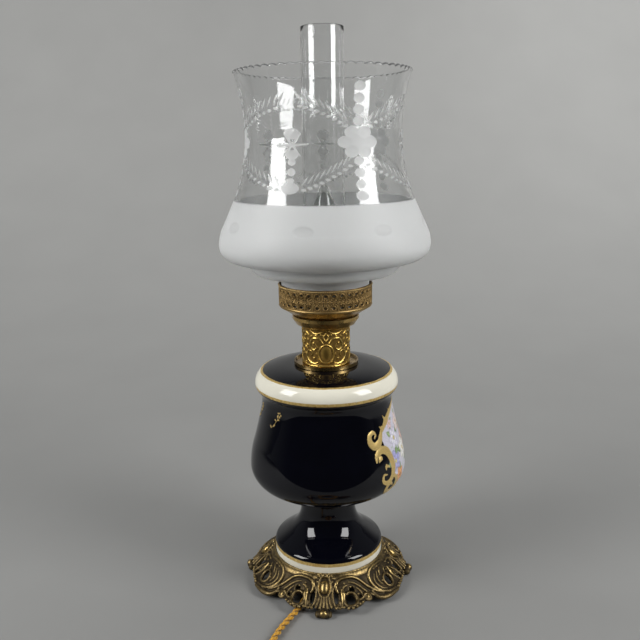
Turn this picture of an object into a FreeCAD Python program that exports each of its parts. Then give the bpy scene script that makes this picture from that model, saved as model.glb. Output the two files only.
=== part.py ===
import FreeCAD, Part
import math
import os
import re
import sys

import Sketcher

# An oil lamp converted to electricity: a cast brass base on four feet, a black porcelain
# foot and font, a brass drum, a gallery ring that holds a glass shade and chimney, an E14
# candle bulb inside them, and a twisted silk flex with a hand switch and a plug.
# Millimetres. Origin: on the table under the lamp's axis. +Z is up. -Y is the font's front.

document = FreeCAD.newDocument("OilLamp")
sheet = document.addObject("Spreadsheet::Sheet", "Sizes")

# ---------------------------------------------------------------- driving dimensions
# A "_level" is a height above the table, a "_radius" is from the lamp's axis unless the
# name says whose radius it is, and every other value is a length.
SIZES = {
    # cast base
    "ledge_radius": 44, "ledge_underside_level": 27, "seat_level": 31,
    "lip_radius": 59.2, "lip_level": 33.2, "lip_width": 1.4,
    "skirt_top_radius": 64.5, "skirt_top_level": 27.5, "skirt_waist_radius": 71.5,
    "skirt_waist_level": 18, "skirt_radius": 84, "skirt_edge_level": 10, "skirt_wall": 2.5,
    "skirt_drop": 3.5, "foot_tip_radius": 92.5, "foot_tip_height": 6.5, "foot_width": 16,
    "foot_heel_radius": 82, "foot_neck_radius": 80.5, "foot_neck_level": 11.5,
    "toe_radius": 88, "toe_level": 9.5,
    "foot_shoulder_radius": 74, "foot_shoulder_level": 25,
    "cabochon_half_length": 8.5, "cabochon_half_width": 5.5, "cabochon_half_height": 5,
    "large_hole_radius": 5.5, "large_hole_circle": 76, "large_hole_angle": 23,
    "small_hole_radius": 3.4, "small_hole_circle": 71, "small_hole_angle": 11.5,
    # clamping stack under the base
    "rod_radius": 5, "rod_bore_radius": 4, "rod_foot_level": 19, "rod_top_level": 307,
    "clearance_radius": 5.3, "base_plate_radius": 52, "base_plate_gauge": 2,
    "washer_gauge": 1, "washer_radius": 9, "nut_height": 4, "nut_corner_radius": 8.1,
    # bottom cover and its cord outlet
    "cover_radius": 33, "cover_gauge": 1.2, "cover_floor_level": 1, "cover_flange_radius": 40,
    "cover_screw_circle": 36.5, "screw_radius": 1.5, "screw_head_radius": 2.8,
    "screw_head_height": 1.8,
    "flex_radius": 3.15, "outlet_level": 6.5, "outlet_angle": 161,
    "bush_start": 29, "bush_collar_radius": 5.2, "bush_end_radius": 4.2, "bush_nose": 16,
    "block_start": 12, "block_depth": 12, "block_width": 20, "block_height": 8,
    "core_radius": 1.2, "core_offset": 1.5,
    # porcelain foot and font
    "felt_gauge": 1, "porcelain_wall": 4.5,
    "foot_rim_radius": 58.6, "foot_rim_level": 42.4, "foot_shoulder_curve": 6,
    "foot_cone_top_radius": 42, "foot_cone_top_level": 57,
    "foot_cone_radius": 55.4, "foot_cone_level": 47.2,
    "stem_radius": 29.7, "stem_level": 81, "stem_curve": 30, "stem_flare_curve": 40,
    "joint_radius": 33, "joint_level": 97, "rod_hole_radius": 8,
    "belly_underside_radius": 71, "belly_underside_level": 114, "underside_curve": 130,
    "belly_radius": 82.8, "belly_level": 134.5, "belly_low_curve": 24.6,
    "body_radius": 78.1, "body_level": 162, "belly_high_curve": 95, "body_curve": 480,
    "collar_line_radius": 69.3, "collar_line_level": 198,
    "collar_radius": 68.3, "collar_level": 208, "collar_curve": 51,
    "roll_root_radius": 71, "roll_root_level": 216.5, "roll_root_curve": 14.7,
    "roll_radius": 75.1, "roll_level": 225, "roll_low_curve": 12,
    "disc_radius": 68.7, "disc_level": 237.4, "roll_high_curve": 16,
    "disc_curve": 105, "mouth_rim_radius": 33, "mouth_radius": 22, "mouth_level": 243.5,
    # brasswork between the font and the glass
    "sheet_gauge": 1.4, "flange_radius": 33.4, "flange_rim_height": 3.7,
    "drum_radius": 24.6, "drum_top_level": 285.5,
    "dish_floor_radius": 27.7, "dish_radius": 34.3, "dish_flare_level": 292.5,
    "dish_rim_level": 296,
    "cup_neck_radius": 28, "cup_neck_level": 295.5, "cup_root_radius": 33.6,
    "cup_root_level": 297.3, "cup_radius": 47.4, "cup_rim_level": 307, "cup_edge_level": 306,
    "band_radius": 47.1, "band_wall": 1.2, "band_top_level": 329.3, "bead_height": 2.4,
    "bead_radius": 47.9, "band_hole_radius": 2.3, "band_hole_low_level": 313.9,
    "band_hole_high_level": 322.3, "band_hole_count": 24,
    # chimney holder and lampholder
    "spacer_radius": 8, "holder_level": 300, "holder_gauge": 1.2, "finger_radius": 21.1,
    "finger_top_level": 318, "finger_slot_width": 3, "finger_count": 8,
    "socket_radius": 13.8, "socket_cap_height": 10.8, "socket_top_level": 350,
    "socket_mouth_radius": 8.7, "core_top_level": 344, "core_floor_level": 316,
    "shell_radius": 7.9, "shell_gauge": 0.7, "shell_floor_level": 326, "contact_radius": 1.9,
    "contact_top_level": 327.6, "terminal_radius": 1.7, "terminal_offset": 7.5,
    "terminal_height": 3.5,
    # glass chimney and shade
    "fit_gap": 0.3, "chimney_radius": 20.65, "chimney_wall": 1.8, "chimney_top_level": 574,
    "shade_wall": 2.5, "shade_neck_radius": 44.9, "shade_foot_level": 307,
    "shade_neck_level": 332, "neck_curve": 6, "bowl_root_radius": 50, "bowl_root_level": 337.3,
    "bowl_floor_radius": 66, "bowl_floor_level": 339.8, "bowl_radius": 75.8,
    "bowl_level": 348.6, "bowl_curve": 10, "step_level": 351.8, "under_radius": 91,
    "under_level": 354.6, "shade_radius": 105.8, "shade_belly_level": 369,
    "under_curve": 15.5, "shoulder_radius": 101, "shoulder_level": 388, "shoulder_curve": 42,
    "frost_radius": 89.5, "frost_level": 413, "waist_radius": 76.5, "waist_level": 478,
    "waist_curve": 165, "rim_radius": 85.7, "rim_level": 534.4, "rim_curve": 177,
    # candle bulb
    "bulb_contact_radius": 2.4, "bulb_contact_level": 328, "bulb_insulator_level": 329.6,
    "bulb_cap_level": 332.4, "bulb_cap_radius": 6.8, "bulb_glass_level": 351.6,
    "bulb_cap_gauge": 0.5, "bulb_neck_radius": 6.3, "bulb_neck_level": 354,
    "bulb_shoulder_radius": 14.5, "bulb_shoulder_level": 368, "bulb_radius": 17.5,
    "bulb_belly_level": 380, "bulb_taper_radius": 12, "bulb_taper_level": 405,
    "bulb_tip_radius": 3, "bulb_tip_level": 427, "bulb_glass": 0.8, "stem_glass_radius": 3,
    "filament_level": 388,
    # hand switch, in its own frame: X along the flex, Z up from the table
    "switch_length": 58, "switch_width": 24, "switch_height": 16, "switch_split": 6,
    "switch_wall": 1.8, "opening_length": 20, "opening_width": 11, "rocker_length": 18,
    "rocker_width": 10, "rocker_top": 17.6, "rocker_dip": 1.8, "rocker_foot": 9.8,
    "pivot_height": 12, "pin_radius": 1, "pin_running_gap": 0.05, "lug_thickness": 2,
    "lug_length": 8, "lug_height": 4, "lug_drop": 2.5, "switch_screw_offset": 19,
    "switch_screw_sideways": 7, "switch_rounding": 3,
    # plug, in its own frame: X from the flex to the pins, Z up from the table
    "plug_length": 38, "plug_tail_width": 16, "plug_width": 35, "plug_taper": 15,
    "plug_height": 14, "plug_pin_radius": 2, "plug_pin_length": 19, "plug_pin_spacing": 19,
    "plug_pin_embed": 8, "plug_root_radius": 1.5, "plug_flex_depth": 8,
    "plug_rounding": 3,
    # coil of spare flex
    "coil_inner_radius": 31, "coil_outer_radius": 44, "coil_floor": 0.9,
    "coil_height": 25.2, "tie_gauge": 0.8, "tie_width": 8,
}

for row, (alias, number) in enumerate(SIZES.items(), start=1):
    sheet.set(f"A{row}", alias.replace("_", " "))
    sheet.set(f"B{row}", str(number))
    sheet.setAlias(f"B{row}", alias)
document.recompute()

# Where the pieces on the flex lie: centre on the table, and turn about Z in degrees.
SWITCH_PLACE = (-178.7, 61.5, 161)
COIL_CENTRE = (-201.7, -12.1)
PLUG_PLACE = (-187.1, -70.2, -26)
TIE_ANGLE = 70

# The flex's route, each stretch a list of points (x, y, z) on its centre line.
LEAD_ROUTE = [
    (-37.8, 13.0, 6.5), (-53.9, 18.6, 6.4), (-68.3, 22.8, 4.4), (-83.3, 28.4, 3.3),
    (-97.8, 35.5, 3.3), (-112.6, 41.5, 3.3), (-128.4, 46.0, 3.3), (-141.2, 49.2, 4.4),
    (-151.3, 52.1, 6.0), (-156.0, 53.7, 6.0),
]
LINK_ROUTE = [
    (-201.4, 69.3, 6.0), (-206.1, 70.9, 6.0), (-220.3, 75.8, 5.2), (-236.2, 73.9, 3.8),
    (-249.3, 64.8, 3.3), (-256.3, 50.3, 3.3), (-255.8, 34.3, 3.3), (-251.6, 18.9, 3.3),
    (-245.9, 3.8, 3.6), (-241.3, -10.9, 4.1),
]
TAIL_ROUTE = [
    (-239.4, -17.7, 10.4), (-236.7, -33.6, 8.8), (-228.2, -47.5, 5.4), (-215.0, -57.2, 3.6),
    (-200.6, -63.7, 5.2), (-187.1, -70.2, 7.0), (-180.8, -73.3, 7.0),
]
ARC_REACH = 0.45  # share of the shorter run that an arc uses up on each side of its point
ROCKER_TILT = 7  # the rocker rests this many degrees down at one end

UP = FreeCAD.Vector(0, 0, 1)
nodes = {}


# ---------------------------------------------------------------- helpers
def size(expression):
    """The value in mm of an expression written with the sheet's aliases."""
    return float(sheet.evalExpression(str(expression)))


def bound(expression):
    """The same expression as another object has to write it."""
    return re.sub(r"\b([a-z]\w+)", r"Sizes.\1", str(expression))


def bind(item, **expressions):
    for name, expression in expressions.items():
        item.setExpression(name, bound(expression))
    return item


def keep(label, item):
    """Register an object as one of the lamp's sub-parts."""
    item.Label = label
    nodes[label] = item
    return item


def origin_plane(body, role):
    return next(item for item in body.Origin.OriginFeatures if item.Role == role)


def add_sketch(body, name, role):
    sketch = body.newObject("Sketcher::SketchObject", name)
    sketch.AttachmentSupport = (origin_plane(body, role), [""])
    sketch.MapMode = "FlatFace"
    return sketch


def arc_geometry(start, end, radius):
    """The minor arc from start to end; a positive radius turns left, a negative one right."""
    chord = end - start
    left = FreeCAD.Vector(-chord.y, chord.x, 0).normalize()
    height = math.sqrt(radius**2 - (chord.Length / 2) ** 2)
    centre = (start + end) / 2 + left * math.copysign(height, radius)
    first, last = (start, end) if radius > 0 else (end, start)
    angles = [math.atan2(point.y - centre.y, point.x - centre.x) for point in (first, last)]
    if angles[1] < angles[0]:
        angles[1] += 2 * math.pi
    circle = Part.Circle(centre, UP, abs(radius))
    return Part.ArcOfCircle(circle, angles[0], angles[1])


def pin_to_origin(sketch, index, end, expressions):
    """Fix one end of an edge at (x, y), each an expression; zero lies on the axis."""
    for kind, axis, expression in zip(("DistanceX", "DistanceY"), (-2, -1), expressions):
        value = size(expression)
        if abs(value) < 1e-9:
            sketch.addConstraint(Sketcher.Constraint("PointOnObject", index, end, axis))
            continue
        constraint = Sketcher.Constraint(kind, -1, 1, index, end, value)
        number = sketch.addConstraint(constraint)
        sketch.setExpression(f"Constraints[{number}]", bound(expression))


def draw_outline(sketch, outline):
    """A closed outline of corners (x, y) or (x, y, radius of the arc to the next corner)."""
    corners = [FreeCAD.Vector(size(corner[0]), size(corner[1]), 0) for corner in outline]
    ends = []
    for index, corner in enumerate(outline):
        start, end = corners[index], corners[(index + 1) % len(corners)]
        if len(corner) == 2:
            sketch.addGeometry(Part.LineSegment(start, end), False)
            ends.append((1, 2))
            continue
        radius = size(corner[2])
        sketch.addGeometry(arc_geometry(start, end, radius), False)
        ends.append((1, 2) if radius > 0 else (2, 1))
    for index, corner in enumerate(outline):
        following = (index + 1) % len(outline)
        joint = ("Coincident", index, ends[index][1], following, ends[following][0])
        sketch.addConstraint(Sketcher.Constraint(*joint))
        pin_to_origin(sketch, index, ends[index][0], corner[:2])
        if len(corner) == 3:
            radius = corner[2].lstrip("-")
            number = sketch.addConstraint(Sketcher.Constraint("Radius", index, size(radius)))
            sketch.setExpression(f"Constraints[{number}]", bound(radius))
    return sketch


def turned(label, outline):
    """A body whose outline of (radius, level) corners is turned about the lamp's axis."""
    body = document.addObject("PartDesign::Body", label)
    sketch = draw_outline(add_sketch(body, label + "_outline", "XZ_Plane"), outline)
    turning = body.newObject("PartDesign::Revolution", label + "_turning")
    turning.Profile = sketch
    turning.ReferenceAxis = (sketch, ["V_Axis"])
    turning.Angle = 360
    sketch.Visibility = False
    return body


def ring(label, inner, outer, low, high):
    """A turned washer or plain tube."""
    return turned(label, [(inner, low), (outer, low), (outer, high), (inner, high)])


def axis_placement(x, y, z, turn=0, tilt=0):
    """A place, with a tilt from +Z towards +X and then a turn about Z, in degrees."""
    turning = FreeCAD.Rotation(UP, turn)
    tilting = FreeCAD.Rotation(FreeCAD.Vector(0, 1, 0), tilt)
    return FreeCAD.Placement(FreeCAD.Vector(x, y, z), turning.multiply(tilting))


def primitive(kind, name, placement=None, **expressions):
    item = document.addObject("Part::" + kind, name)
    bind(item, **expressions)
    if placement:
        item.Placement = placement
    return item


def fused(name, items):
    item = document.addObject("Part::MultiFuse", name)
    item.Shapes = items
    return item


def cut(name, base, tools):
    item = document.addObject("Part::Cut", name)
    item.Base = base
    item.Tool = tools[0] if len(tools) == 1 else fused(name + "_tools", tools)
    return item


def group(name, items):
    """Separate solids that share one node."""
    item = document.addObject("Part::Compound", name)
    item.Links = items
    return item


def polar(body, originals, count, name):
    pattern = body.newObject("PartDesign::PolarPattern", name)
    pattern.Originals = originals
    pattern.Axis = (next(i for i in body.Origin.OriginFeatures if i.Role == "Z_Axis"), [""])
    pattern.Angle = 360
    if isinstance(count, str):
        bind(pattern, Occurrences=count)
    else:
        pattern.Occurrences = count
    body.Tip = pattern
    return pattern


def add_circles(sketch, circles):
    """Circles (x, y, radius) of fixed place, each radius an expression."""
    for x, y, radius in circles:
        circle = Part.Circle(FreeCAD.Vector(x, y, 0), UP, size(radius))
        index = sketch.addGeometry(circle, False)
        sketch.addConstraint(Sketcher.Constraint("DistanceX", -1, 1, index, 3, x))
        sketch.addConstraint(Sketcher.Constraint("DistanceY", -1, 1, index, 3, y))
        number = sketch.addConstraint(Sketcher.Constraint("Radius", index, size(radius)))
        sketch.setExpression(f"Constraints[{number}]", bound(radius))
    return sketch


def hex_nut(label, level):
    """A hexagon nut on the rod, its underside at the given level."""
    place = axis_placement(0, 0, size(level))
    blank = primitive("Prism", label + "_blank", place, Circumradius="nut_corner_radius",
                      Height="nut_height")
    bore = primitive("Cylinder", label + "_bore", place, Radius="rod_radius",
                     Height="nut_height")
    return cut(label, blank, [bore])


def outward(distance, level, sideways=0):
    """The point at a distance from the lamp's axis towards the cord outlet."""
    angle = math.radians(size("outlet_angle"))
    x = distance * math.cos(angle) - sideways * math.sin(angle)
    y = distance * math.sin(angle) + sideways * math.cos(angle)
    return FreeCAD.Vector(x, y, level)


# ---------------------------------------------------------------- cast base
def make_base_casting():
    label = "base_casting"
    body = turned("base_skirt", [
        ("ledge_radius", "ledge_underside_level"),
        ("lip_radius - skirt_wall", "ledge_underside_level"),
        ("skirt_top_radius - skirt_drop", "skirt_top_level - skirt_wall"),
        ("skirt_waist_radius - skirt_drop / 2", "skirt_waist_level - skirt_wall * 0.8"),
        ("skirt_radius - skirt_drop", "skirt_edge_level"),
        ("skirt_radius", "skirt_edge_level"),
        ("skirt_radius", "skirt_edge_level + skirt_wall"),
        ("skirt_waist_radius", "skirt_waist_level"),
        ("skirt_top_radius", "skirt_top_level"),
        ("lip_radius + lip_width", "lip_level"),
        ("lip_radius", "lip_level"),
        ("lip_radius", "seat_level"),
        ("ledge_radius", "seat_level"),
    ])
    pierce_skirt(body)
    add_feet(body)
    return fused(label, [body] + make_cabochons())


def pierce_skirt(body):
    """The openings of the scrollwork: four holes to each quarter, right through the skirt."""
    circles = []
    for kind in ("large_hole", "small_hole"):
        angle, circle = math.radians(size(kind + "_angle")), size(kind + "_circle")
        for side in (1, -1):
            place = (circle * math.cos(angle), side * circle * math.sin(angle))
            circles.append((*rotated(place, 90), kind + "_radius"))
    document.recompute()
    before = body.Shape.Volume
    sketch = add_circles(add_sketch(body, "scroll_holes", "XY_Plane"), circles)
    pocket = body.newObject("PartDesign::Pocket", "scroll_openings")
    pocket.Profile = sketch
    pocket.Type = 1  # through all
    pocket.Midplane = True
    body.Tip = pocket
    polar(body, [pocket], 4, "scroll_pattern")
    document.recompute()
    if body.Shape.Volume > 0.99 * before:
        raise RuntimeError("the scroll openings cut nothing")


def rotated(place, degrees):
    angle = math.radians(degrees)
    x = place[0] * math.cos(angle) - place[1] * math.sin(angle)
    y = place[0] * math.sin(angle) + place[1] * math.cos(angle)
    return x, y


def add_feet(body):
    """Four stems running down to the table."""
    outline = [
        ("lip_radius + skirt_wall", "skirt_top_level - skirt_wall"),
        ("foot_heel_radius - foot_tip_height", "foot_tip_height"),
        ("foot_heel_radius", 0),
        ("foot_tip_radius", 0),
        ("foot_tip_radius", "foot_tip_height"),
        ("toe_radius", "toe_level"),
        ("foot_neck_radius", "foot_neck_level"),
        ("foot_shoulder_radius", "foot_shoulder_level"),
        ("skirt_top_radius", "skirt_top_level + skirt_wall"),
    ]
    sketch = draw_outline(add_sketch(body, "foot_side", "XZ_Plane"), outline)
    foot = body.newObject("PartDesign::Pad", "foot_stem")
    foot.Profile = sketch
    foot.Midplane = True
    bind(foot, Length="foot_width")
    body.Tip = foot
    polar(body, [foot], 4, "foot_pattern")


def make_cabochons():
    """The smooth oval at the top of each foot."""
    ovals = []
    for number in range(4):
        x, y = rotated((size("foot_shoulder_radius - skirt_drop"), 0), number * 90)
        place = axis_placement(x, y, size("foot_shoulder_level"), turn=number * 90, tilt=40)
        oval = primitive("Ellipsoid", f"cabochon_{number + 1}", place,
                         Radius1="cabochon_half_height", Radius2="cabochon_half_length",
                         Radius3="cabochon_half_width")
        ovals.append(oval)
    return ovals


# ---------------------------------------------------------------- under the base
def make_base_plate():
    """The steel plate that the rod pulls up against the casting."""
    low = "ledge_underside_level - base_plate_gauge"
    plate = ring("base_plate_blank", "clearance_radius", "base_plate_radius", low,
                 "ledge_underside_level")
    return cut("base_plate", plate, cover_screw_holes("base_plate"))


def cover_screw_holes(name):
    """Drills for the two screws that hold the bottom cover."""
    places = cover_screw_places()
    return [
        primitive("Cylinder", f"{name}_hole_{number}", place, Radius="screw_radius",
                  Height="ledge_underside_level - cover_floor_level")
        for number, place in enumerate(places, start=1)
    ]


def cover_screw_places(level=None):
    places = []
    for side in (90, -90):
        angle = math.radians(size("outlet_angle") + side)
        circle = size("cover_screw_circle")
        height = size("cover_floor_level") if level is None else level
        places.append(axis_placement(circle * math.cos(angle), circle * math.sin(angle), height))
    return places


def make_bottom_cover():
    """The pressed cup over the terminals, with a flange for its screws and a cord outlet."""
    flange_level = "ledge_underside_level - base_plate_gauge"
    blank = turned("bottom_cover_blank", [
        (0, "cover_floor_level"),
        ("cover_radius", "cover_floor_level"),
        ("cover_radius", f"{flange_level} - cover_gauge"),
        ("cover_flange_radius", f"{flange_level} - cover_gauge"),
        ("cover_flange_radius", flange_level),
        ("cover_radius - cover_gauge", flange_level),
        ("cover_radius - cover_gauge", "cover_floor_level + cover_gauge"),
        (0, "cover_floor_level + cover_gauge"),
    ])
    outlet = primitive("Cylinder", "cord_outlet_hole", outlet_placement("bush_start"),
                       Radius="flex_radius + cover_gauge / 2", Height="bush_nose")
    return cut("bottom_cover", blank, [outlet] + cover_screw_holes("bottom_cover"))


def outlet_placement(distance):
    """Frame at the cord outlet whose Z runs outward along the flex."""
    place = outward(size(distance), size("outlet_level"))
    return axis_placement(place.x, place.y, place.z, turn=size("outlet_angle"), tilt=90)


def make_cover_screws():
    head_level = size("ledge_underside_level - base_plate_gauge - cover_gauge")
    screws = []
    for number, place in enumerate(cover_screw_places(head_level), start=1):
        shank = primitive("Cylinder", f"cover_screw_shank_{number}", place,
                          Radius="screw_radius", Height="base_plate_gauge + cover_gauge")
        lower = axis_placement(place.Base.x, place.Base.y, head_level - size("screw_head_height"))
        head = primitive("Cylinder", f"cover_screw_head_{number}", lower,
                         Radius="screw_head_radius", Height="screw_head_height")
        screws.append(fused(f"cover_screw_{number}", [shank, head]))
    return group("cover_screws", screws)


def make_cord_bush():
    """The collared, tapered sleeve that the flex leaves through."""
    start = "bush_start"
    wall_start = "cover_radius - cover_gauge"
    lip_radius = "outlet_level - cover_floor_level - cover_gauge - 0.1"
    inner = primitive("Cylinder", "bush_inner_collar", outlet_placement(start),
                      Radius=lip_radius, Height=f"{wall_start} - bush_start - 0.5")
    sleeve = primitive("Cylinder", "bush_sleeve", outlet_placement(start),
                       Radius="flex_radius + cover_gauge / 2", Height="bush_nose / 2")
    nose = primitive("Cone", "bush_nose_cone", outlet_placement("cover_radius + 0.1"),
                     Radius1="bush_collar_radius", Radius2="bush_end_radius",
                     Height="bush_nose")
    bore = primitive("Cylinder", "bush_bore", outlet_placement("bush_start - 1"),
                     Radius="flex_radius", Height="bush_nose * 2")
    return cut("cord_bush", fused("bush_blank", [inner, sleeve, nose]), [bore])


def make_terminal_block():
    corner = outward(size("block_start"), size("cover_floor_level + cover_gauge"),
                     -size("block_width") / 2)
    place = axis_placement(*corner, turn=size("outlet_angle"))
    return primitive("Box", "terminal_block", place, Length="block_depth",
                     Width="block_width", Height="block_height")


# ---------------------------------------------------------------- porcelain
def make_porcelain_foot():
    seat = "seat_level + felt_gauge"
    wall = "porcelain_wall"
    return turned("porcelain_foot", [
        ("foot_rim_radius - " + wall, seat),
        ("foot_rim_radius", seat),
        ("foot_rim_radius", "foot_rim_level", "foot_shoulder_curve"),
        ("foot_cone_radius", "foot_cone_level"),
        ("foot_cone_top_radius", "foot_cone_top_level", "-stem_curve"),
        ("stem_radius", "stem_level", "-stem_flare_curve"),
        ("joint_radius", "joint_level"),
        ("rod_hole_radius", "joint_level"),
        ("rod_hole_radius", "joint_level - " + wall),
        ("stem_radius - " + wall, "joint_level - " + wall),
        ("stem_radius - " + wall, "stem_level", "stem_curve + " + wall),
        ("foot_cone_top_radius - porcelain_wall * 0.8", "foot_cone_top_level - porcelain_wall * 0.6"),
        ("foot_rim_radius - " + wall, "foot_cone_level - " + wall),
    ])


def make_porcelain_body():
    """The font: a bellied body with a rolled white band round its shoulder."""
    wall = "porcelain_wall"
    base = "joint_level + felt_gauge"
    return turned("porcelain_body", [
        ("rod_hole_radius", base),
        ("joint_radius", base, "underside_curve"),
        ("belly_underside_radius", "belly_underside_level", "belly_low_curve"),
        ("belly_radius", "belly_level", "belly_high_curve"),
        ("body_radius", "body_level", "-body_curve"),
        ("collar_line_radius", "collar_line_level", "-collar_curve"),
        ("collar_radius", "collar_level", "-roll_root_curve"),
        ("roll_root_radius", "roll_root_level", "roll_low_curve"),
        ("roll_radius", "roll_level", "roll_high_curve"),
        ("disc_radius", "disc_level", "disc_curve"),
        ("mouth_rim_radius", "mouth_level"),
        ("mouth_radius", "mouth_level"),
        ("mouth_radius", "mouth_level - " + wall),
        ("mouth_rim_radius", "mouth_level - " + wall),
        ("collar_radius - " + wall, "disc_level - " + wall),
        ("collar_radius - " + wall, "collar_level", "collar_curve"),
        ("collar_line_radius - " + wall, "collar_line_level"),
        ("body_radius - " + wall, "body_level", "-belly_high_curve"),
        ("belly_radius - " + wall, "belly_level", "-belly_low_curve"),
        ("belly_underside_radius - " + wall, "belly_underside_level + porcelain_wall / 2",
         "-underside_curve"),
        ("joint_radius", f"{base} + {wall}"),
        ("rod_hole_radius", f"{base} + {wall}"),
    ])


# ---------------------------------------------------------------- brasswork
def make_collar_flange():
    """The dished plate that covers the font's mouth."""
    low = "mouth_level + felt_gauge / 2"
    return turned("collar_flange", [
        ("clearance_radius", low),
        ("flange_radius", low),
        ("flange_radius", low + " + flange_rim_height"),
        ("flange_radius - sheet_gauge", low + " + flange_rim_height"),
        ("flange_radius - sheet_gauge * 2", low + " + sheet_gauge"),
        ("clearance_radius", low + " + sheet_gauge"),
    ])


def make_drip_dish():
    return turned("drip_dish", [
        ("clearance_radius", "drum_top_level"),
        ("dish_floor_radius", "drum_top_level"),
        ("dish_floor_radius + sheet_gauge * 2", "drum_top_level + sheet_gauge"),
        ("dish_radius", "dish_flare_level"),
        ("dish_radius", "dish_rim_level"),
        ("dish_radius - sheet_gauge", "dish_rim_level"),
        ("dish_radius - sheet_gauge", "dish_flare_level"),
        ("dish_floor_radius + sheet_gauge * 1.2", "drum_top_level + sheet_gauge * 2"),
        ("dish_floor_radius", "drum_top_level + sheet_gauge"),
        ("clearance_radius", "drum_top_level + sheet_gauge"),
    ])


def make_gallery_cup():
    """The polished cup that stands on the drip dish and carries the gallery band."""
    floor = "drum_top_level + sheet_gauge"
    gauge = "sheet_gauge"
    return turned("gallery_cup", [
        ("clearance_radius", floor),
        ("dish_floor_radius", floor),
        ("cup_neck_radius", "cup_neck_level"),
        ("cup_root_radius", "cup_root_level"),
        ("cup_radius", "cup_edge_level"),
        ("cup_radius", "cup_rim_level"),
        ("band_radius - band_wall", "cup_rim_level"),
        ("cup_root_radius", "cup_root_level + sheet_gauge * 1.3"),
        ("cup_neck_radius - " + gauge, "cup_neck_level + sheet_gauge / 2"),
        ("dish_floor_radius - " + gauge, f"{floor} + {gauge}"),
        ("clearance_radius", f"{floor} + {gauge}"),
    ])


def make_gallery_band():
    """The pierced ring that keeps the shade's neck in place."""
    inner = "band_radius - band_wall"
    body = turned("gallery_band", [
        (inner, "cup_rim_level"),
        ("bead_radius", "cup_rim_level"),
        ("bead_radius", "cup_rim_level + bead_height"),
        ("band_radius", "cup_rim_level + bead_height * 1.5"),
        ("band_radius", "band_top_level - bead_height * 1.5"),
        ("bead_radius", "band_top_level - bead_height"),
        ("bead_radius", "band_top_level"),
        (inner, "band_top_level"),
    ])
    for row, level in (("low", "band_hole_low_level"), ("high", "band_hole_high_level")):
        pierce_band(body, row, level)
    return body


def pierce_band(body, row, level):
    sketch = add_sketch(body, f"band_hole_{row}", "YZ_Plane")
    height = size(level)
    offset = 0 if row == "low" else size("band_radius") * math.sin(math.pi / size("band_hole_count"))
    circle = Part.Circle(FreeCAD.Vector(offset, height, 0), UP, size("band_hole_radius"))
    index = sketch.addGeometry(circle, False)
    if offset:
        sketch.addConstraint(Sketcher.Constraint("DistanceX", -1, 1, index, 3, offset))
    else:
        sketch.addConstraint(Sketcher.Constraint("PointOnObject", index, 3, -2))
    number = sketch.addConstraint(Sketcher.Constraint("DistanceY", -1, 1, index, 3, height))
    sketch.setExpression(f"Constraints[{number}]", bound(level))
    number = sketch.addConstraint(
        Sketcher.Constraint("Radius", index, size("band_hole_radius")))
    sketch.setExpression(f"Constraints[{number}]", bound("band_hole_radius"))
    document.recompute()
    before = body.Shape.Volume
    pocket = body.newObject("PartDesign::Pocket", f"band_opening_{row}")
    pocket.Profile = sketch
    pocket.Reversed = True
    bind(pocket, Length="bead_radius + 1")
    body.Tip = pocket
    polar(body, [pocket], "band_hole_count", f"band_pattern_{row}")
    document.recompute()
    if body.Shape.Volume > 0.995 * before:
        raise RuntimeError("the band openings cut nothing")


# ---------------------------------------------------------------- holders for the glass
def make_chimney_holder():
    """A springy cup of fingers round the chimney's foot."""
    top_of_floor = "holder_level + holder_gauge"
    blank = turned("chimney_holder_blank", [
        ("clearance_radius", "holder_level"),
        ("finger_radius + holder_gauge", "holder_level"),
        ("finger_radius + holder_gauge", "finger_top_level"),
        ("finger_radius", "finger_top_level"),
        ("finger_radius", top_of_floor),
        ("clearance_radius", top_of_floor),
    ])
    slots = []
    for number in range(int(size("finger_count"))):
        turn = number * 360 / size("finger_count")
        x, y = rotated((0, -size("finger_slot_width") / 2), turn)
        place = axis_placement(x, y, size(top_of_floor + " + holder_gauge"), turn=turn)
        slot = primitive("Box", f"finger_slot_{number + 1}", place,
                         Length="finger_radius + holder_gauge * 2", Width="finger_slot_width",
                         Height="finger_top_level - holder_level")
        slots.append(slot)
    return cut("chimney_holder", blank, slots)


def make_socket_cap():
    """The lampholder's threaded cap, screwed on the rod."""
    low = "holder_level + holder_gauge"
    return turned("socket_cap", [
        ("rod_radius", low),
        ("socket_radius", low),
        ("socket_radius", low + " + socket_cap_height"),
        ("socket_radius - sheet_gauge", low + " + socket_cap_height"),
        ("socket_radius - sheet_gauge", low + " + sheet_gauge"),
        ("spacer_radius", low + " + sheet_gauge"),
        ("spacer_radius", "rod_top_level"),
        ("rod_radius", "rod_top_level"),
    ])


def make_socket_sleeve():
    low = "holder_level + holder_gauge + socket_cap_height"
    return turned("socket_sleeve", [
        ("socket_radius - sheet_gauge", low),
        ("socket_radius", low),
        ("socket_radius", "socket_top_level"),
        ("socket_mouth_radius", "socket_top_level"),
        ("socket_mouth_radius", "socket_top_level - sheet_gauge"),
        ("socket_radius - sheet_gauge", "socket_top_level - sheet_gauge"),
    ])


def make_socket_core():
    """The porcelain insert that carries the screw shell and the centre contact."""
    blank = turned("socket_core_blank", [
        ("contact_radius", "core_floor_level"),
        ("socket_radius - sheet_gauge", "core_floor_level"),
        ("socket_radius - sheet_gauge", "core_top_level"),
        ("shell_radius", "core_top_level"),
        ("shell_radius", "shell_floor_level"),
        ("contact_radius", "shell_floor_level"),
    ])
    drills = terminal_tools("terminal_drill", "core_floor_level", "terminal_height")
    return cut("socket_core", blank, drills)


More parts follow.
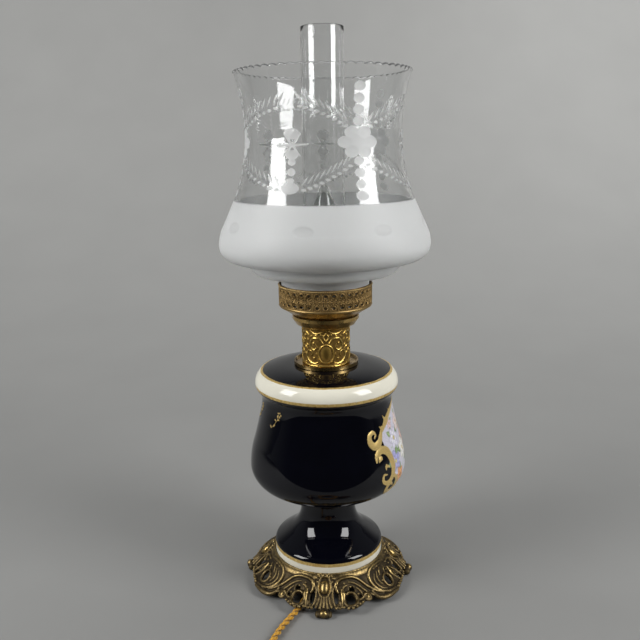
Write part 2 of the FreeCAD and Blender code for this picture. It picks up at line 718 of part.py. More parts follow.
def terminal_tools(name, low, height):
    """Two small cylinders where the cores are clamped under the socket's core."""
    tools = []
    for number, side in enumerate((1, -1), start=1):
        place = axis_placement(*outward(0, size(low), side * size("terminal_offset")))
        tools.append(primitive("Cylinder", f"{name}_{number}", place,
                               Radius="terminal_radius", Height=height))
    return tools


def make_terminal_screws():
    return group("terminal_screws", terminal_tools(
        "terminal_screw", "core_floor_level - screw_head_height",
        "terminal_height + screw_head_height"))


# ---------------------------------------------------------------- glass
def make_shade():
    """A footed bowl below, a bell belly, a waist and a flared rim, all one glass wall."""
    wall = "shade_wall"
    return turned("shade", [
        ("shade_neck_radius", "shade_foot_level"),
        ("shade_neck_radius", "shade_neck_level", "-neck_curve"),
        ("bowl_root_radius", "bowl_root_level"),
        ("bowl_floor_radius", "bowl_floor_level", "bowl_curve"),
        ("bowl_radius", "bowl_level"),
        ("bowl_radius", "step_level"),
        ("under_radius", "under_level", "under_curve"),
        ("shade_radius", "shade_belly_level", "shoulder_curve"),
        ("shoulder_radius", "shoulder_level"),
        ("frost_radius", "frost_level", "-waist_curve"),
        ("waist_radius", "waist_level", "-rim_curve"),
        ("rim_radius", "rim_level"),
        ("rim_radius - " + wall, "rim_level", "rim_curve"),
        ("waist_radius - " + wall, "waist_level", "waist_curve"),
        ("frost_radius - " + wall, "frost_level"),
        ("shoulder_radius - " + wall, "shoulder_level", "-shoulder_curve"),
        ("shade_radius - " + wall, "shade_belly_level", "-under_curve"),
        ("under_radius - shade_wall / 2", "under_level + " + wall),
        ("bowl_radius - " + wall, "step_level + " + wall),
        ("bowl_radius - " + wall, "bowl_level", "-bowl_curve"),
        ("bowl_floor_radius", "bowl_floor_level + " + wall),
        ("bowl_root_radius", "bowl_root_level + " + wall, "neck_curve + " + wall),
        ("shade_neck_radius - " + wall, "shade_neck_level"),
        ("shade_neck_radius - " + wall, "shade_foot_level"),
    ])


def make_chimney():
    foot = "holder_level + holder_gauge + fit_gap"
    return ring("chimney", "chimney_radius - chimney_wall", "chimney_radius", foot,
                "chimney_top_level")


# ---------------------------------------------------------------- candle bulb
def make_bulb_cap():
    gauge = "bulb_cap_gauge"
    return turned("bulb_cap", [
        ("bulb_cap_radius - " + gauge, "bulb_cap_level"),
        ("bulb_cap_radius", "bulb_cap_level"),
        ("bulb_cap_radius", "bulb_glass_level"),
        ("bulb_cap_radius - " + gauge, "bulb_glass_level"),
    ])


def make_bulb_insulator():
    return turned("bulb_insulator", [
        (0, "bulb_insulator_level"),
        ("bulb_contact_radius", "bulb_insulator_level"),
        ("bulb_cap_radius - bulb_cap_gauge", "bulb_cap_level"),
        ("bulb_cap_radius - bulb_cap_gauge", "bulb_cap_level + bulb_cap_gauge * 4"),
        (0, "bulb_cap_level + bulb_cap_gauge * 4"),
    ])


def make_bulb_contact():
    return turned("bulb_contact", [
        (0, "bulb_contact_level"),
        ("bulb_contact_radius", "bulb_contact_level"),
        ("bulb_contact_radius", "bulb_insulator_level"),
        (0, "bulb_insulator_level"),
    ])


def make_bulb_glass():
    """The candle-shaped envelope with the stem that holds the filament."""
    glass = "bulb_glass"
    return turned("bulb_glass_envelope", [
        (0, "bulb_glass_level - 8"),
        ("stem_glass_radius", "bulb_glass_level - 8"),
        ("bulb_neck_radius", "bulb_glass_level - 4"),
        ("bulb_neck_radius", "bulb_neck_level", "-bulb_radius * 2"),
        ("bulb_shoulder_radius", "bulb_shoulder_level", "bulb_radius"),
        ("bulb_radius", "bulb_belly_level", "bulb_radius * 4"),
        ("bulb_taper_radius", "bulb_taper_level"),
        ("bulb_tip_radius", "bulb_tip_level - bulb_tip_radius", "bulb_tip_radius * 1.5"),
        ("stem_glass_radius / 3", "bulb_tip_level"),
        (0, "bulb_tip_level"),
        (0, "bulb_tip_level - bulb_glass"),
        ("stem_glass_radius / 3", "bulb_tip_level - bulb_glass"),
        ("bulb_tip_radius - " + glass, "bulb_tip_level - bulb_tip_radius"),
        ("bulb_taper_radius - " + glass, "bulb_taper_level", "-bulb_radius * 4"),
        ("bulb_radius - " + glass, "bulb_belly_level", "-bulb_radius"),
        ("bulb_shoulder_radius - " + glass, "bulb_shoulder_level", "bulb_radius * 2"),
        ("bulb_neck_radius - " + glass, "bulb_neck_level"),
        ("stem_glass_radius", "bulb_glass_level"),
        ("stem_glass_radius / 2", "filament_level - 10"),
        (0, "filament_level - 10"),
    ])


def make_filament():
    """A hairpin filament on two support wires above the glass stem."""
    low = size("filament_level") - 10
    points = [(-1, 0, low), (-4, 0, low + 9), (-3.2, 0, low + 22), (0, 0, low + 12),
              (3.2, 0, low + 22), (4, 0, low + 9), (1, 0, low)]
    return tube_node("bulb_filament", points, 0.3)[0]


# ---------------------------------------------------------------- tubes along a route
def route_wire(points):
    """Straight runs joined by tangent arcs, as a wire, with the arcs' radii."""
    points = [FreeCAD.Vector(*point) for point in points]
    runs = [after - before for before, after in zip(points, points[1:])]
    edges, radii, last = [], [], points[0]
    for corner, before, after in zip(points[1:], runs, runs[1:]):
        half_turn = before.getAngle(after) / 2
        reach = ARC_REACH * min(before.Length, after.Length)
        radius = reach / math.tan(half_turn)
        into, out = before / before.Length, after / after.Length
        to_centre = (out - into).normalize()
        middle = corner + to_centre * (radius / math.cos(half_turn) - radius)
        start, end = corner - into * reach, corner + out * reach
        edges += [Part.LineSegment(last, start).toShape(), Part.Arc(start, middle, end).toShape()]
        radii.append(radius)
        last = end
    edges.append(Part.LineSegment(last, points[-1]).toShape())
    return Part.Wire(edges), radii


def tube_node(label, points, radius):
    """A round tube along a route, with its arc radii; its volume is checked."""
    path, radii = route_wire(points)
    start = FreeCAD.Vector(*points[0])
    direction = FreeCAD.Vector(*points[1]) - start
    section = Part.Wire(Part.Circle(start, direction, radius).toShape())
    shape = path.makePipeShell([section], True, False)
    expected = math.pi * radius**2 * path.Length
    if abs(shape.Volume - expected) > 0.01 * expected:
        raise RuntimeError(f"{label}: volume {shape.Volume:.1f}, expected {expected:.1f}")
    node = document.addObject("Part::Feature", label)
    node.Shape = shape
    return node, radii, path.Length


def make_flex(label, points):
    node, radii, length = tube_node(label, points, size("flex_radius"))
    rounded = ", ".join(f"{radius:.0f}" for radius in radii)
    print(f"{label}: {length:.1f} mm long, arc radii {rounded} mm")
    return node


def make_internal_wires():
    """The flex's two cores: outlet to terminal block, then up the rod to the socket."""
    shapes = []
    outlet, top = size("outlet_level"), size("core_floor_level - screw_head_height")
    block_end = size("block_start + block_depth")
    for side in (1, -1):
        offset = side * size("core_offset")
        shapes.append(straight_core(outward(block_end, outlet, offset),
                                    outward(size("bush_start + 10.9"), outlet, offset)))
        ends = [outward(size("block_start"), outlet, offset), outward(7, outlet + 0.6, offset)]
        rise = [outward(1.2, outlet + 5, offset), outward(0.2, outlet + 13, offset)]
        upper = [outward(0, 290, offset), outward(0, size("rod_top_level + 0.5"), offset)]
        terminal = side * size("terminal_offset")
        last = [outward(0, top - 3, terminal), outward(0, top, terminal)]
        points = [tuple(point) for point in ends + rise + upper + last]
        shapes.append(tube_node(f"core_{2 + side}", points, size("core_radius"))[0].Shape)
    node = document.addObject("Part::Feature", "internal_wires")
    node.Shape = Part.Compound(shapes)
    return node


def straight_core(start, end):
    run = end - start
    return Part.makeCylinder(size("core_radius"), run.Length, start, run)


# ---------------------------------------------------------------- hand switch
def switch_block(name, low, high, inset=0):
    """A stadium-shaped block between two heights, in the switch's own frame."""
    length, width = "switch_length", "switch_width"
    box = primitive("Box", name + "_middle", Length=f"{length} - {width}",
                    Width=f"{width} - {2 * inset}", Height=f"{high} - {low}")
    corner = FreeCAD.Vector(-size(f"{length} - {width}") / 2, -size(width) / 2 + inset, size(low))
    box.Placement = FreeCAD.Placement(corner, FreeCAD.Rotation())
    ends = [
        primitive("Cylinder", f"{name}_end_{number}",
                  axis_placement(side * size(f"{length} - {width}") / 2, 0, size(low)),
                  Radius=f"{width} / 2 - {inset}", Height=f"{high} - {low}")
        for number, side in enumerate((1, -1), start=1)
    ]
    return fused(name, [box] + ends)


def flex_channel(name):
    """The round passage for the flex through both ends of the switch."""
    start = axis_placement(-size("switch_length") / 2 - 1, 0, size("switch_split"), tilt=90)
    return primitive("Cylinder", name, start, Radius="flex_radius",
                     Height="switch_length + 2")


def switch_screw_tools(name, radius, low, high):
    return [
        primitive("Cylinder", f"{name}_{number}",
                  axis_placement(side * size("switch_screw_offset"),
                                 side * size("switch_screw_sideways"), size(low)),
                  Radius=radius, Height=f"{high} - {low}")
        for number, side in enumerate((1, -1), start=1)
    ]


def make_switch_base():
    outer = switch_block("switch_base_blank", "0", "switch_split")
    cavity = switch_block("switch_base_cavity", "switch_wall", "switch_split",
                          size("switch_wall"))
    pillars = switch_screw_tools("switch_base_pillar", "screw_head_radius", "0", "switch_split")
    shell = fused("switch_base_shell", [cut("switch_base_cup", outer, [cavity])] + pillars)
    drills = switch_screw_tools("switch_base_drill", "screw_radius", "0", "switch_split")
    return cut("switch_base", shell, [flex_channel("switch_base_channel")] + drills)


def make_switch_cover():
    """The upper shell, with the rocker's opening and two lugs for its pin."""
    outer = switch_block("switch_cover_blank", "switch_split", "switch_height")
    rounded = document.addObject("Part::Fillet", "switch_cover_rounded")
    rounded.Base = outer
    document.recompute()
    top_edges = [
        (number, size("switch_rounding"), size("switch_rounding"))
        for number, edge in enumerate(outer.Shape.Edges, start=1)
        if all(abs(vertex.Z - size("switch_height")) < 1e-6 for vertex in edge.Vertexes)
        and on_outside(edge)
    ]
    rounded.Edges = top_edges
    wall = size("switch_wall")
    cavity = switch_block("switch_cover_cavity", "switch_split", "switch_height - switch_wall * 1.7",
                          wall * 1.4)
    length, width = size("opening_length"), size("opening_width")
    opening_place = axis_placement(-length / 2, -width / 2, size("pivot_height"))
    opening = primitive("Box", "rocker_opening", opening_place, Length="opening_length",
                        Width="opening_width", Height="switch_height")
    hollow = cut("switch_cover_hollow", rounded, [cavity])
    lugs = []
    for number, side in enumerate((1, -1), start=1):
        near = width / 2 if side > 0 else -width / 2 - size("lug_thickness")
        place = axis_placement(-size("lug_length") / 2, near,
                               size("pivot_height - lug_drop"))
        lugs.append(primitive("Box", f"pin_lug_{number}", place, Length="lug_length",
                              Width="lug_thickness", Height="lug_height"))
    pin_bore = primitive("Cylinder", "pin_bore", pin_placement(), Radius="pin_radius",
                         Height="opening_width + lug_thickness * 2")
    pillars = switch_screw_tools("switch_cover_pillar", "screw_head_radius", "switch_split",
                                 "switch_height - 2")
    drills = switch_screw_tools("switch_cover_drill", "screw_radius", "switch_split",
                                "pivot_height")
    shell = fused("switch_cover_shell", [hollow] + lugs + pillars)
    tools = [opening, pin_bore, flex_channel("switch_cover_channel")] + drills
    return cut("switch_cover", shell, tools)


def on_outside(edge):
    """Whether an edge of the stadium block follows its outline."""
    middle = edge.valueAt((edge.FirstParameter + edge.LastParameter) / 2)
    straight = abs(abs(middle.y) - size("switch_width") / 2) < 1e-6
    centre = size("switch_length - switch_width") / 2
    rounded = abs(math.hypot(abs(middle.x) - centre, middle.y) - size("switch_width") / 2)
    return straight or (rounded < 1e-6 and abs(middle.x) > centre)


def pin_placement():
    half = size("opening_width") / 2 + size("lug_thickness")
    turn = FreeCAD.Rotation(FreeCAD.Vector(1, 0, 0), -90)
    return FreeCAD.Placement(FreeCAD.Vector(0, -half, size("pivot_height")), turn)


def make_rocker_pin():
    return primitive("Cylinder", "rocker_pin", pin_placement(), Radius="pin_radius",
                     Height="opening_width + lug_thickness * 2")


def make_switch_screws():
    """Two screws up through the base shell into the cover's pillars."""
    return group("switch_screws", switch_screw_tools("switch_screw", "screw_radius", "0",
                                                     "pivot_height"))


def make_rocker():
    """The rocker, pressed down at the end nearer the lamp."""
    body = document.addObject("PartDesign::Body", "switch_rocker")
    half, dip = size("rocker_length") / 2, size("rocker_dip")
    top, foot = size("rocker_top"), size("rocker_foot")
    corners = [(-half, top), (-half + 1.5, foot), (half - 1.5, foot), (half, top),
               (0, top - dip)]
    sketch = add_sketch(body, "rocker_side", "XZ_Plane")
    ends = [FreeCAD.Vector(x, z, 0) for x, z in corners]
    for start, end in zip(ends, ends[1:] + ends[:1]):
        index = sketch.addGeometry(Part.LineSegment(start, end), False)
        sketch.addConstraint(Sketcher.Constraint("Block", index))
    hole = Part.Circle(FreeCAD.Vector(0, size("pivot_height"), 0), UP,
                       size("pin_radius + pin_running_gap"))
    sketch.addConstraint(Sketcher.Constraint("Block", sketch.addGeometry(hole, False)))
    pad = body.newObject("PartDesign::Pad", "rocker_pad")
    pad.Profile = sketch
    pad.Midplane = True
    bind(pad, Length="rocker_width")
    return body


def rocker_placement(switch_place):
    """The switch's place, with the rocker tilted about its pin."""
    pivot = FreeCAD.Vector(0, 0, size("pivot_height"))
    tilt = FreeCAD.Rotation(FreeCAD.Vector(0, 1, 0), -ROCKER_TILT)
    about_pin = FreeCAD.Placement(pivot - tilt.multVec(pivot), tilt)
    return switch_place.multiply(about_pin)


# ---------------------------------------------------------------- plug
def make_plug_body():
    body = document.addObject("PartDesign::Body", "plug_body")
    sketch = add_sketch(body, "plug_plan", "XY_Plane")
    length, taper = size("plug_length"), size("plug_taper")
    tail, wide = size("plug_tail_width") / 2, size("plug_width") / 2
    corners = [(0, -tail), (taper, -wide), (length, -wide), (length, wide), (taper, wide),
               (0, tail)]
    ends = [FreeCAD.Vector(x, y, 0) for x, y in corners]
    for start, end in zip(ends, ends[1:] + ends[:1]):
        index = sketch.addGeometry(Part.LineSegment(start, end), False)
        sketch.addConstraint(Sketcher.Constraint("Block", index))
    pad = body.newObject("PartDesign::Pad", "plug_pad")
    pad.Profile = sketch
    bind(pad, Length="plug_height")
    document.recompute()
    rounding = body.newObject("PartDesign::Fillet", "plug_rounding")
    upright = [
        f"Edge{number}" for number, edge in enumerate(pad.Shape.Edges, start=1)
        if abs(edge.Vertexes[0].Z - edge.Vertexes[-1].Z) > 1
    ]
    rounding.Base = (pad, upright)
    bind(rounding, Radius="plug_rounding")
    body.Tip = rounding
    tools = plug_root_tools("plug_socket")
    passage = axis_placement(0, 0, size("plug_height") / 2, tilt=90)
    tools.append(primitive("Cylinder", "plug_flex_passage", passage, Radius="flex_radius",
                           Height="plug_flex_depth"))
    return cut("plug_shell", body, tools)


def plug_pin_tools(name, start, radius, length):
    return [
        primitive("Cylinder", f"{name}_{number}",
                  axis_placement(size(start), side * size("plug_pin_spacing") / 2,
                                 size("plug_height") / 2, tilt=90),
                  Radius=radius, Height=length)
        for number, side in enumerate((1, -1), start=1)
    ]


def plug_root_tools(name):
    """The two slimmer roots that the pins have inside the plug."""
    return plug_pin_tools(name, "plug_length - plug_pin_embed", "plug_root_radius",
                          "plug_pin_embed")


def make_plug_pins():
    shanks = plug_pin_tools("plug_pin", "plug_length", "plug_pin_radius", "plug_pin_length")
    pins = [
        fused(f"plug_pin_whole_{number}", [root, shank])
        for number, (root, shank) in enumerate(zip(plug_root_tools("plug_pin_root"), shanks),
                                               start=1)
    ]
    return group("plug_pins", pins)


# ---------------------------------------------------------------- coil of spare flex
def make_coil():
    return ring("flex_coil", "coil_inner_radius", "coil_outer_radius", "coil_floor",
                "coil_floor + coil_height")


def make_coil_tie():
    """A strap right round the coil's turns at one place."""
    gauge = "tie_gauge"
    place = axis_placement(size("coil_inner_radius - tie_gauge"), -size("tie_width") / 2,
                           size("coil_floor - tie_gauge"))
    outer = primitive("Box", "tie_outside", place,
                      Length="coil_outer_radius - coil_inner_radius + tie_gauge * 2",
                      Width="tie_width", Height=f"coil_height + {gauge} * 2")
    turns = ring("tie_inside", "coil_inner_radius", "coil_outer_radius", "coil_floor",
                 "coil_floor + coil_height")
    return cut("coil_tie", outer, [turns])


# ---------------------------------------------------------------- assembly
def build_lamp():
    flange_low = "mouth_level + felt_gauge / 2"
    plate_low = "ledge_underside_level - base_plate_gauge"
    keep("base_casting", make_base_casting())
    keep("seat_felt", ring("seat_felt", "ledge_radius + 2", "foot_rim_radius - 1",
                           "seat_level", "seat_level + felt_gauge"))
    keep("base_plate", make_base_plate())
    keep("lock_washer", ring("lock_washer", "clearance_radius", "washer_radius",
                             plate_low + " - washer_gauge", plate_low))
    keep("bottom_nut", hex_nut("bottom_nut", plate_low + " - washer_gauge - nut_height"))
    keep("threaded_rod", ring("threaded_rod", "rod_bore_radius", "rod_radius",
                              "rod_foot_level", "rod_top_level"))
    keep("bottom_cover", make_bottom_cover())
    keep("cover_screws", make_cover_screws())
    keep("cord_bush", make_cord_bush())
    keep("terminal_block", make_terminal_block())
    keep("internal_wires", make_internal_wires())
    keep("porcelain_foot", make_porcelain_foot())
    keep("joint_felt", ring("joint_felt", "rod_hole_radius + 1", "joint_radius - 2",
                            "joint_level", "joint_level + felt_gauge"))
    keep("porcelain_body", make_porcelain_body())
    keep("mouth_felt", ring("mouth_felt", "mouth_radius + 1", "mouth_rim_radius - 1",
                            "mouth_level", flange_low))
    keep("collar_flange", make_collar_flange())
    keep("embossed_drum", ring("embossed_drum", "drum_radius - sheet_gauge", "drum_radius",
                               flange_low + " + sheet_gauge", "drum_top_level"))
    keep("drip_dish", make_drip_dish())
    keep("gallery_cup", make_gallery_cup())
    keep("gallery_band", make_gallery_band())
    nut_level = "drum_top_level + sheet_gauge * 2"
    keep("top_nut", hex_nut("top_nut", nut_level))
    keep("spacer_tube", ring("spacer_tube", "clearance_radius", "spacer_radius",
                             nut_level + " + nut_height", "holder_level"))
    keep("chimney_holder", make_chimney_holder())
    keep("socket_cap", make_socket_cap())
    keep("socket_sleeve", make_socket_sleeve())
    keep("socket_core", make_socket_core())
    keep("screw_shell", ring("screw_shell", "shell_radius - shell_gauge", "shell_radius",
                             "shell_floor_level", "core_top_level"))
    keep("centre_contact", turned("centre_contact", [
        (0, "core_floor_level"),
        ("contact_radius", "core_floor_level"),
        ("contact_radius", "contact_top_level"),
        (0, "contact_top_level"),
    ]))
    keep("terminal_screws", make_terminal_screws())
    keep("shade", make_shade())
    keep("chimney", make_chimney())
    keep("bulb_cap", make_bulb_cap())
    keep("bulb_insulator", make_bulb_insulator())
    keep("bulb_contact", make_bulb_contact())
    keep("bulb_glass", make_bulb_glass())
    keep("bulb_filament", make_filament())


def build_flex():
    """The flex with its switch, coil and plug."""
    keep("flex_lead", make_flex("flex_lead", LEAD_ROUTE))
    keep("flex_link", make_flex("flex_link", LINK_ROUTE))
    keep("flex_tail", make_flex("flex_tail", TAIL_ROUTE))
    x, y, turn = SWITCH_PLACE
    place = axis_placement(x, y, 0, turn=turn)
    for label, maker in (("switch_base", make_switch_base), ("switch_cover", make_switch_cover),
                         ("rocker_pin", make_rocker_pin), ("switch_screws", make_switch_screws)):
        item = keep(label, maker())
        item.Placement = place.multiply(item.Placement)
    rocker = keep("switch_rocker", make_rocker())
    rocker.Placement = rocker_placement(place)
    coil_place = axis_placement(*COIL_CENTRE, 0, turn=TIE_ANGLE)
    keep("flex_coil", make_coil()).Placement = coil_place
    keep("coil_tie", make_coil_tie()).Placement = coil_place
    x, y, turn = PLUG_PLACE
    plug_place = axis_placement(x, y, 0, turn=turn)
    keep("plug_body", make_plug_body()).Placement = plug_place
    keep("plug_pins", make_plug_pins()).Placement = plug_place


def check_document():
    document.recompute()
    failed = [
        item.Name for item in document.Objects
        if {"Invalid", "Error"} & set(item.State)
    ]
    broken = [
        label for label, item in nodes.items()
        if item.Shape.isNull() or not item.Shape.isValid() or not item.Shape.Solids
    ]
    if failed or broken:
        sys.exit(f"failed objects: {failed}; broken sub-parts: {broken}")


def write_parts():
    os.makedirs("parts", exist_ok=True)
    for label, item in nodes.items():
        item.Shape.exportStep(f"parts/{label}.step")
        box = item.Shape.optimalBoundingBox(True, False)
        print(f"{label}: {len(item.Shape.Solids)} solid(s), {item.Shape.Volume:.0f} mm3, "
              f"z {box.ZMin:.1f} to {box.ZMax:.1f}")


build_lamp()
build_flex()
check_document()
write_parts()
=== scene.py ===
import math

import bmesh
import bpy
import numpy as np
from mathutils import Matrix, Vector


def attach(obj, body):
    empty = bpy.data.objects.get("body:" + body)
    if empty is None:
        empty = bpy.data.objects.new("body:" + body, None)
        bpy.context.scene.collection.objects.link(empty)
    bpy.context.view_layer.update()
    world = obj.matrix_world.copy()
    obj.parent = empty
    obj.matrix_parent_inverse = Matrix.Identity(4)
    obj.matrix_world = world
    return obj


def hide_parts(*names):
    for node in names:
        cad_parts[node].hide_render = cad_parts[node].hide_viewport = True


# The looks of an oil lamp made electric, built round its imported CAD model. Shapes are
# worked out in millimetres in the lamp's own frame and scaled to metres as they are made.
# A place on the lamp is written (radius, angle, level): the angle is in degrees about +Z
# from +X. The camera stands towards VIEW_ANGLE, the painted panel faces PANEL_ANGLE.

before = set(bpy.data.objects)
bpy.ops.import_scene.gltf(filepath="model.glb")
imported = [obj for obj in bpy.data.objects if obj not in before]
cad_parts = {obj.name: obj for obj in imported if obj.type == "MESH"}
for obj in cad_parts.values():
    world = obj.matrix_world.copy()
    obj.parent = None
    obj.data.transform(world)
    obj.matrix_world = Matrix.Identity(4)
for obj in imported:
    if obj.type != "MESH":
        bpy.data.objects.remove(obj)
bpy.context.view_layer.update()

MM = 0.001
VIEW_ANGLE = 184
PANEL_ANGLE = 270
TURN = 2 * math.pi

# ---------------------------------------------------------------- material tools


def add(tree, kind, *inputs, out=0, **settings):
    """Adds a node; each input is a socket to link, a value to set, or None to leave."""
    node = tree.nodes.new("ShaderNode" + kind)
    for name, value in settings.items():
        setattr(node, name, value)
    for socket, value in zip(node.inputs, inputs):
        if isinstance(value, bpy.types.NodeSocket):
            tree.links.new(value, socket)
        elif value is not None:
            socket.default_value = value
    return node.outputs[out]


def calc(tree, operation, *inputs):
    return add(tree, "Math", *inputs, operation=operation)


def shaken(tree, value, wobble, amount):
    """A value moved up and down by half an amount with a noise."""
    return calc(tree, "MULTIPLY_ADD", calc(tree, "SUBTRACT", wobble, 0.5), amount, value)


def mix(tree, factor, first, second):
    """Mixes two colours, each a socket or (r, g, b)."""
    colours = [value if isinstance(value, bpy.types.NodeSocket) else (*value, 1.0)
               for value in (first, second)]
    return add(tree, "MixRGB", factor, *colours)


def ramp(tree, factor, low, high, start=0.0, end=1.0):
    """A value going from start to end while the factor goes from low to high."""
    return add(tree, "MapRange", factor, low, high, start, end, clamp=True)


def stored(tree, name, out=2):
    """A value kept at each of the mesh's points."""
    return add(tree, "Attribute", attribute_name=name, out=out)


def coordinates(tree):
    """The place on the lamp in millimetres."""
    if "place" not in tree.nodes:
        add(tree, "VectorMath", add(tree, "TexCoord", out=3), None, None, 1 / MM,
            operation="SCALE", name="place")
    return tree.nodes["place"].outputs[0]


def noise(tree, size, detail=3, roughness=0.55, distortion=0, place=None):
    """Noise whose lumps are about size millimetres across."""
    place = coordinates(tree) if place is None else place
    return add(tree, "TexNoise", place, None, 1 / size, detail, roughness, None, None, None,
               distortion)


def bump(tree, height, depth, strength):
    """A bump of a height from 0 to 1, depth millimetres deep."""
    return add(tree, "Bump", strength, depth * MM, None, height)


def shader(name, **sockets):
    """A Principled material and its node tree."""
    material = bpy.data.materials.new(name)
    material.use_nodes = True
    return set_sockets(material, **sockets), material.node_tree


def set_sockets(material, **sockets):
    """Sets or links sockets; a keyword is a socket's name, its value a number or a link."""
    principled = material.node_tree.nodes["Principled BSDF"]
    for name, value in sockets.items():
        socket = principled.inputs[name.replace("_", " ")]
        if isinstance(value, bpy.types.NodeSocket):
            material.node_tree.links.new(value, socket)
        else:
            socket.default_value = (*value, 1.0) if isinstance(value, tuple) else value
    return material


# ---------------------------------------------------------------- mesh tools


def linked(name, data):
    """A new object in the scene."""
    item = bpy.data.objects.new(name, data)
    bpy.context.scene.collection.objects.link(item)
    return item


def smooth(mesh, sharp_angle=40):
    mesh.shade_smooth()
    if sharp_angle:
        mesh.set_sharp_from_angle(angle=math.radians(sharp_angle))


def new_object(name, vertices, faces, sharp_angle=40):
    """An object from vertices in millimetres, with its normals outward, smooth but for edges."""
    mesh = bpy.data.meshes.new(name)
    mesh.from_pydata((np.asarray(vertices, float) * MM).tolist(), [], [list(f) for f in faces])
    work = bmesh.new()
    work.from_mesh(mesh)
    bmesh.ops.remove_doubles(work, verts=work.verts, dist=1e-6)
    bmesh.ops.recalc_face_normals(work, faces=work.faces)
    work.to_mesh(mesh)
    work.free()
    smooth(mesh, sharp_angle)
    return linked(name, mesh)


def quad_object(name, vertices, quads):
    """An object of quads straight from arrays, which already face outward."""
    mesh = bpy.data.meshes.new(name)
    mesh.vertices.add(len(vertices))
    mesh.vertices.foreach_set("co", (np.asarray(vertices) * MM).astype(np.float32).ravel())
    mesh.loops.add(quads.size)
    mesh.loops.foreach_set("vertex_index", quads.astype(np.int32).ravel())
    mesh.polygons.add(len(quads))
    mesh.polygons.foreach_set("loop_start", np.arange(0, quads.size, 4, dtype=np.int32))
    mesh.update(calc_edges=True)
    mesh.validate()
    smooth(mesh)
    return linked(name, mesh)


def dress(item, material):
    item.data.materials.clear()
    item.data.materials.append(material)


def finish_piece(item, material, body, replaces=()):
    """Gives a piece its material and body, and hides what it stands for."""
    dress(item, material)
    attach(item, body)
    if replaces:
        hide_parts(*replaces)


def set_attribute(mesh, name, values):
    attribute = mesh.attributes.new(name, "FLOAT", "POINT")
    attribute.data.foreach_set("value", np.asarray(values, np.float32).ravel())


def vertex_places(mesh):
    """A mesh's vertices in millimetres."""
    places = np.empty(len(mesh.vertices) * 3, np.float32)
    mesh.vertices.foreach_get("co", places)
    return places.reshape(-1, 3).astype(float) / MM


def join(first, second):
    """Moves the second object's mesh into the first."""
    work = bmesh.new()
    for item in (first, second):
        work.from_mesh(item.data)
    work.to_mesh(first.data)
    work.free()
    bpy.data.objects.remove(second)


def fuse(item, voxel):
    """Fuses overlapping closed shells into one skin of small even faces."""
    remesh = item.modifiers.new("fuse", "REMESH")
    remesh.mode = "VOXEL"
    remesh.voxel_size = voxel * MM
    soften = item.modifiers.new("soften", "SMOOTH")
    soften.iterations, soften.factor = 2, 0.5
    graph = bpy.context.evaluated_depsgraph_get()
    mesh = bpy.data.meshes.new_from_object(item.evaluated_get(graph))
    item.modifiers.clear()
    item.data = mesh
    smooth(mesh, 0)


def polar(radius, angle, level):
    """The point in millimetres at a radius, an angle in degrees and a level."""
    turn = np.radians(angle)
    return np.stack(np.broadcast_arrays(radius * np.cos(turn), radius * np.sin(turn), level), -1)


def spoke(angle):
    """The unit vector at an angle in degrees."""
    return np.array([math.cos(math.radians(angle)), math.sin(math.radians(angle))])


def around(count):
    """Angles in degrees, evenly round."""
    return np.arange(count) * 360 / count


def spread(values, count):
    """As many values as asked for, interpolated evenly between those given."""
    return np.interp(np.linspace(0, 1, count), np.linspace(0, 1, len(values)), values)


def arc_points(start, end, radius, step):
    """Points along the minor arc from start to just before end; it bends left if radius > 0."""
    start, end = np.asarray(start, float), np.asarray(end, float)
    chord = end - start
    length = np.hypot(*chord)
    left = np.array([-chord[1], chord[0]]) / length
    height = math.sqrt(radius**2 - (length / 2) ** 2)
    centre = (start + end) / 2 + left * math.copysign(height, radius)
    sweep = 2 * math.asin(length / 2 / abs(radius)) * math.copysign(1, radius)
    first = math.atan2(*(start - centre)[::-1])
    count = max(2, round(abs(sweep * radius) / step))
    angles = first + sweep * np.arange(count) / count
    return centre + abs(radius) * np.stack([np.cos(angles), np.sin(angles)], -1)


def dense_outline(corners, step=1.0, closed=True):
    """Points along an outline of (radius, level[, arc radius to the next corner]) corners."""
    points = []
    for corner, following in zip(corners, corners[1:] + corners[:1] * closed):
        if len(corner) == 3:
            points.append(arc_points(corner[:2], following[:2], corner[2], step))
            continue
        count = max(1, round(math.dist(corner[:2], following[:2]) / step))
        share = np.arange(count)[:, None] / count
        points.append(np.array(corner[:2]) * (1 - share) + np.array(following[:2]) * share)
    return np.concatenate(points if closed else [*points, [corners[-1][:2]]])


def ring_quads(rows, columns, closed=True):
    """Quads between rows of points that each go once round; closed joins the last row on."""
    last = rows if closed else rows - 1
    row, column = np.meshgrid(np.arange(last), np.arange(columns), indexing="ij")
    above, beside = (row + 1) % rows, (column + 1) % columns
    quads = [row * columns + column, row * columns + beside, above * columns + beside,
             above * columns + column]
    return np.stack(quads, -1).reshape(-1, 4)


def capped_faces(rows, sides):
    """The faces of rows of points that each go once round, with a flat cap at both ends."""
    last = (rows - 1) * sides
    return [*ring_quads(rows, sides, False).tolist(), range(sides), range(last, last + sides)]


def spun(outline, segments):
    """Rows of points from an outline turned about the lamp's axis."""
    return polar(outline[:, :1], around(segments)[None], outline[:, 1:])


def grid_object(name, points):
    """A closed mesh from rows of points in millimetres, each row going round the lamp."""
    return quad_object(name, points.reshape(-1, 3), ring_quads(*points.shape[:2]))


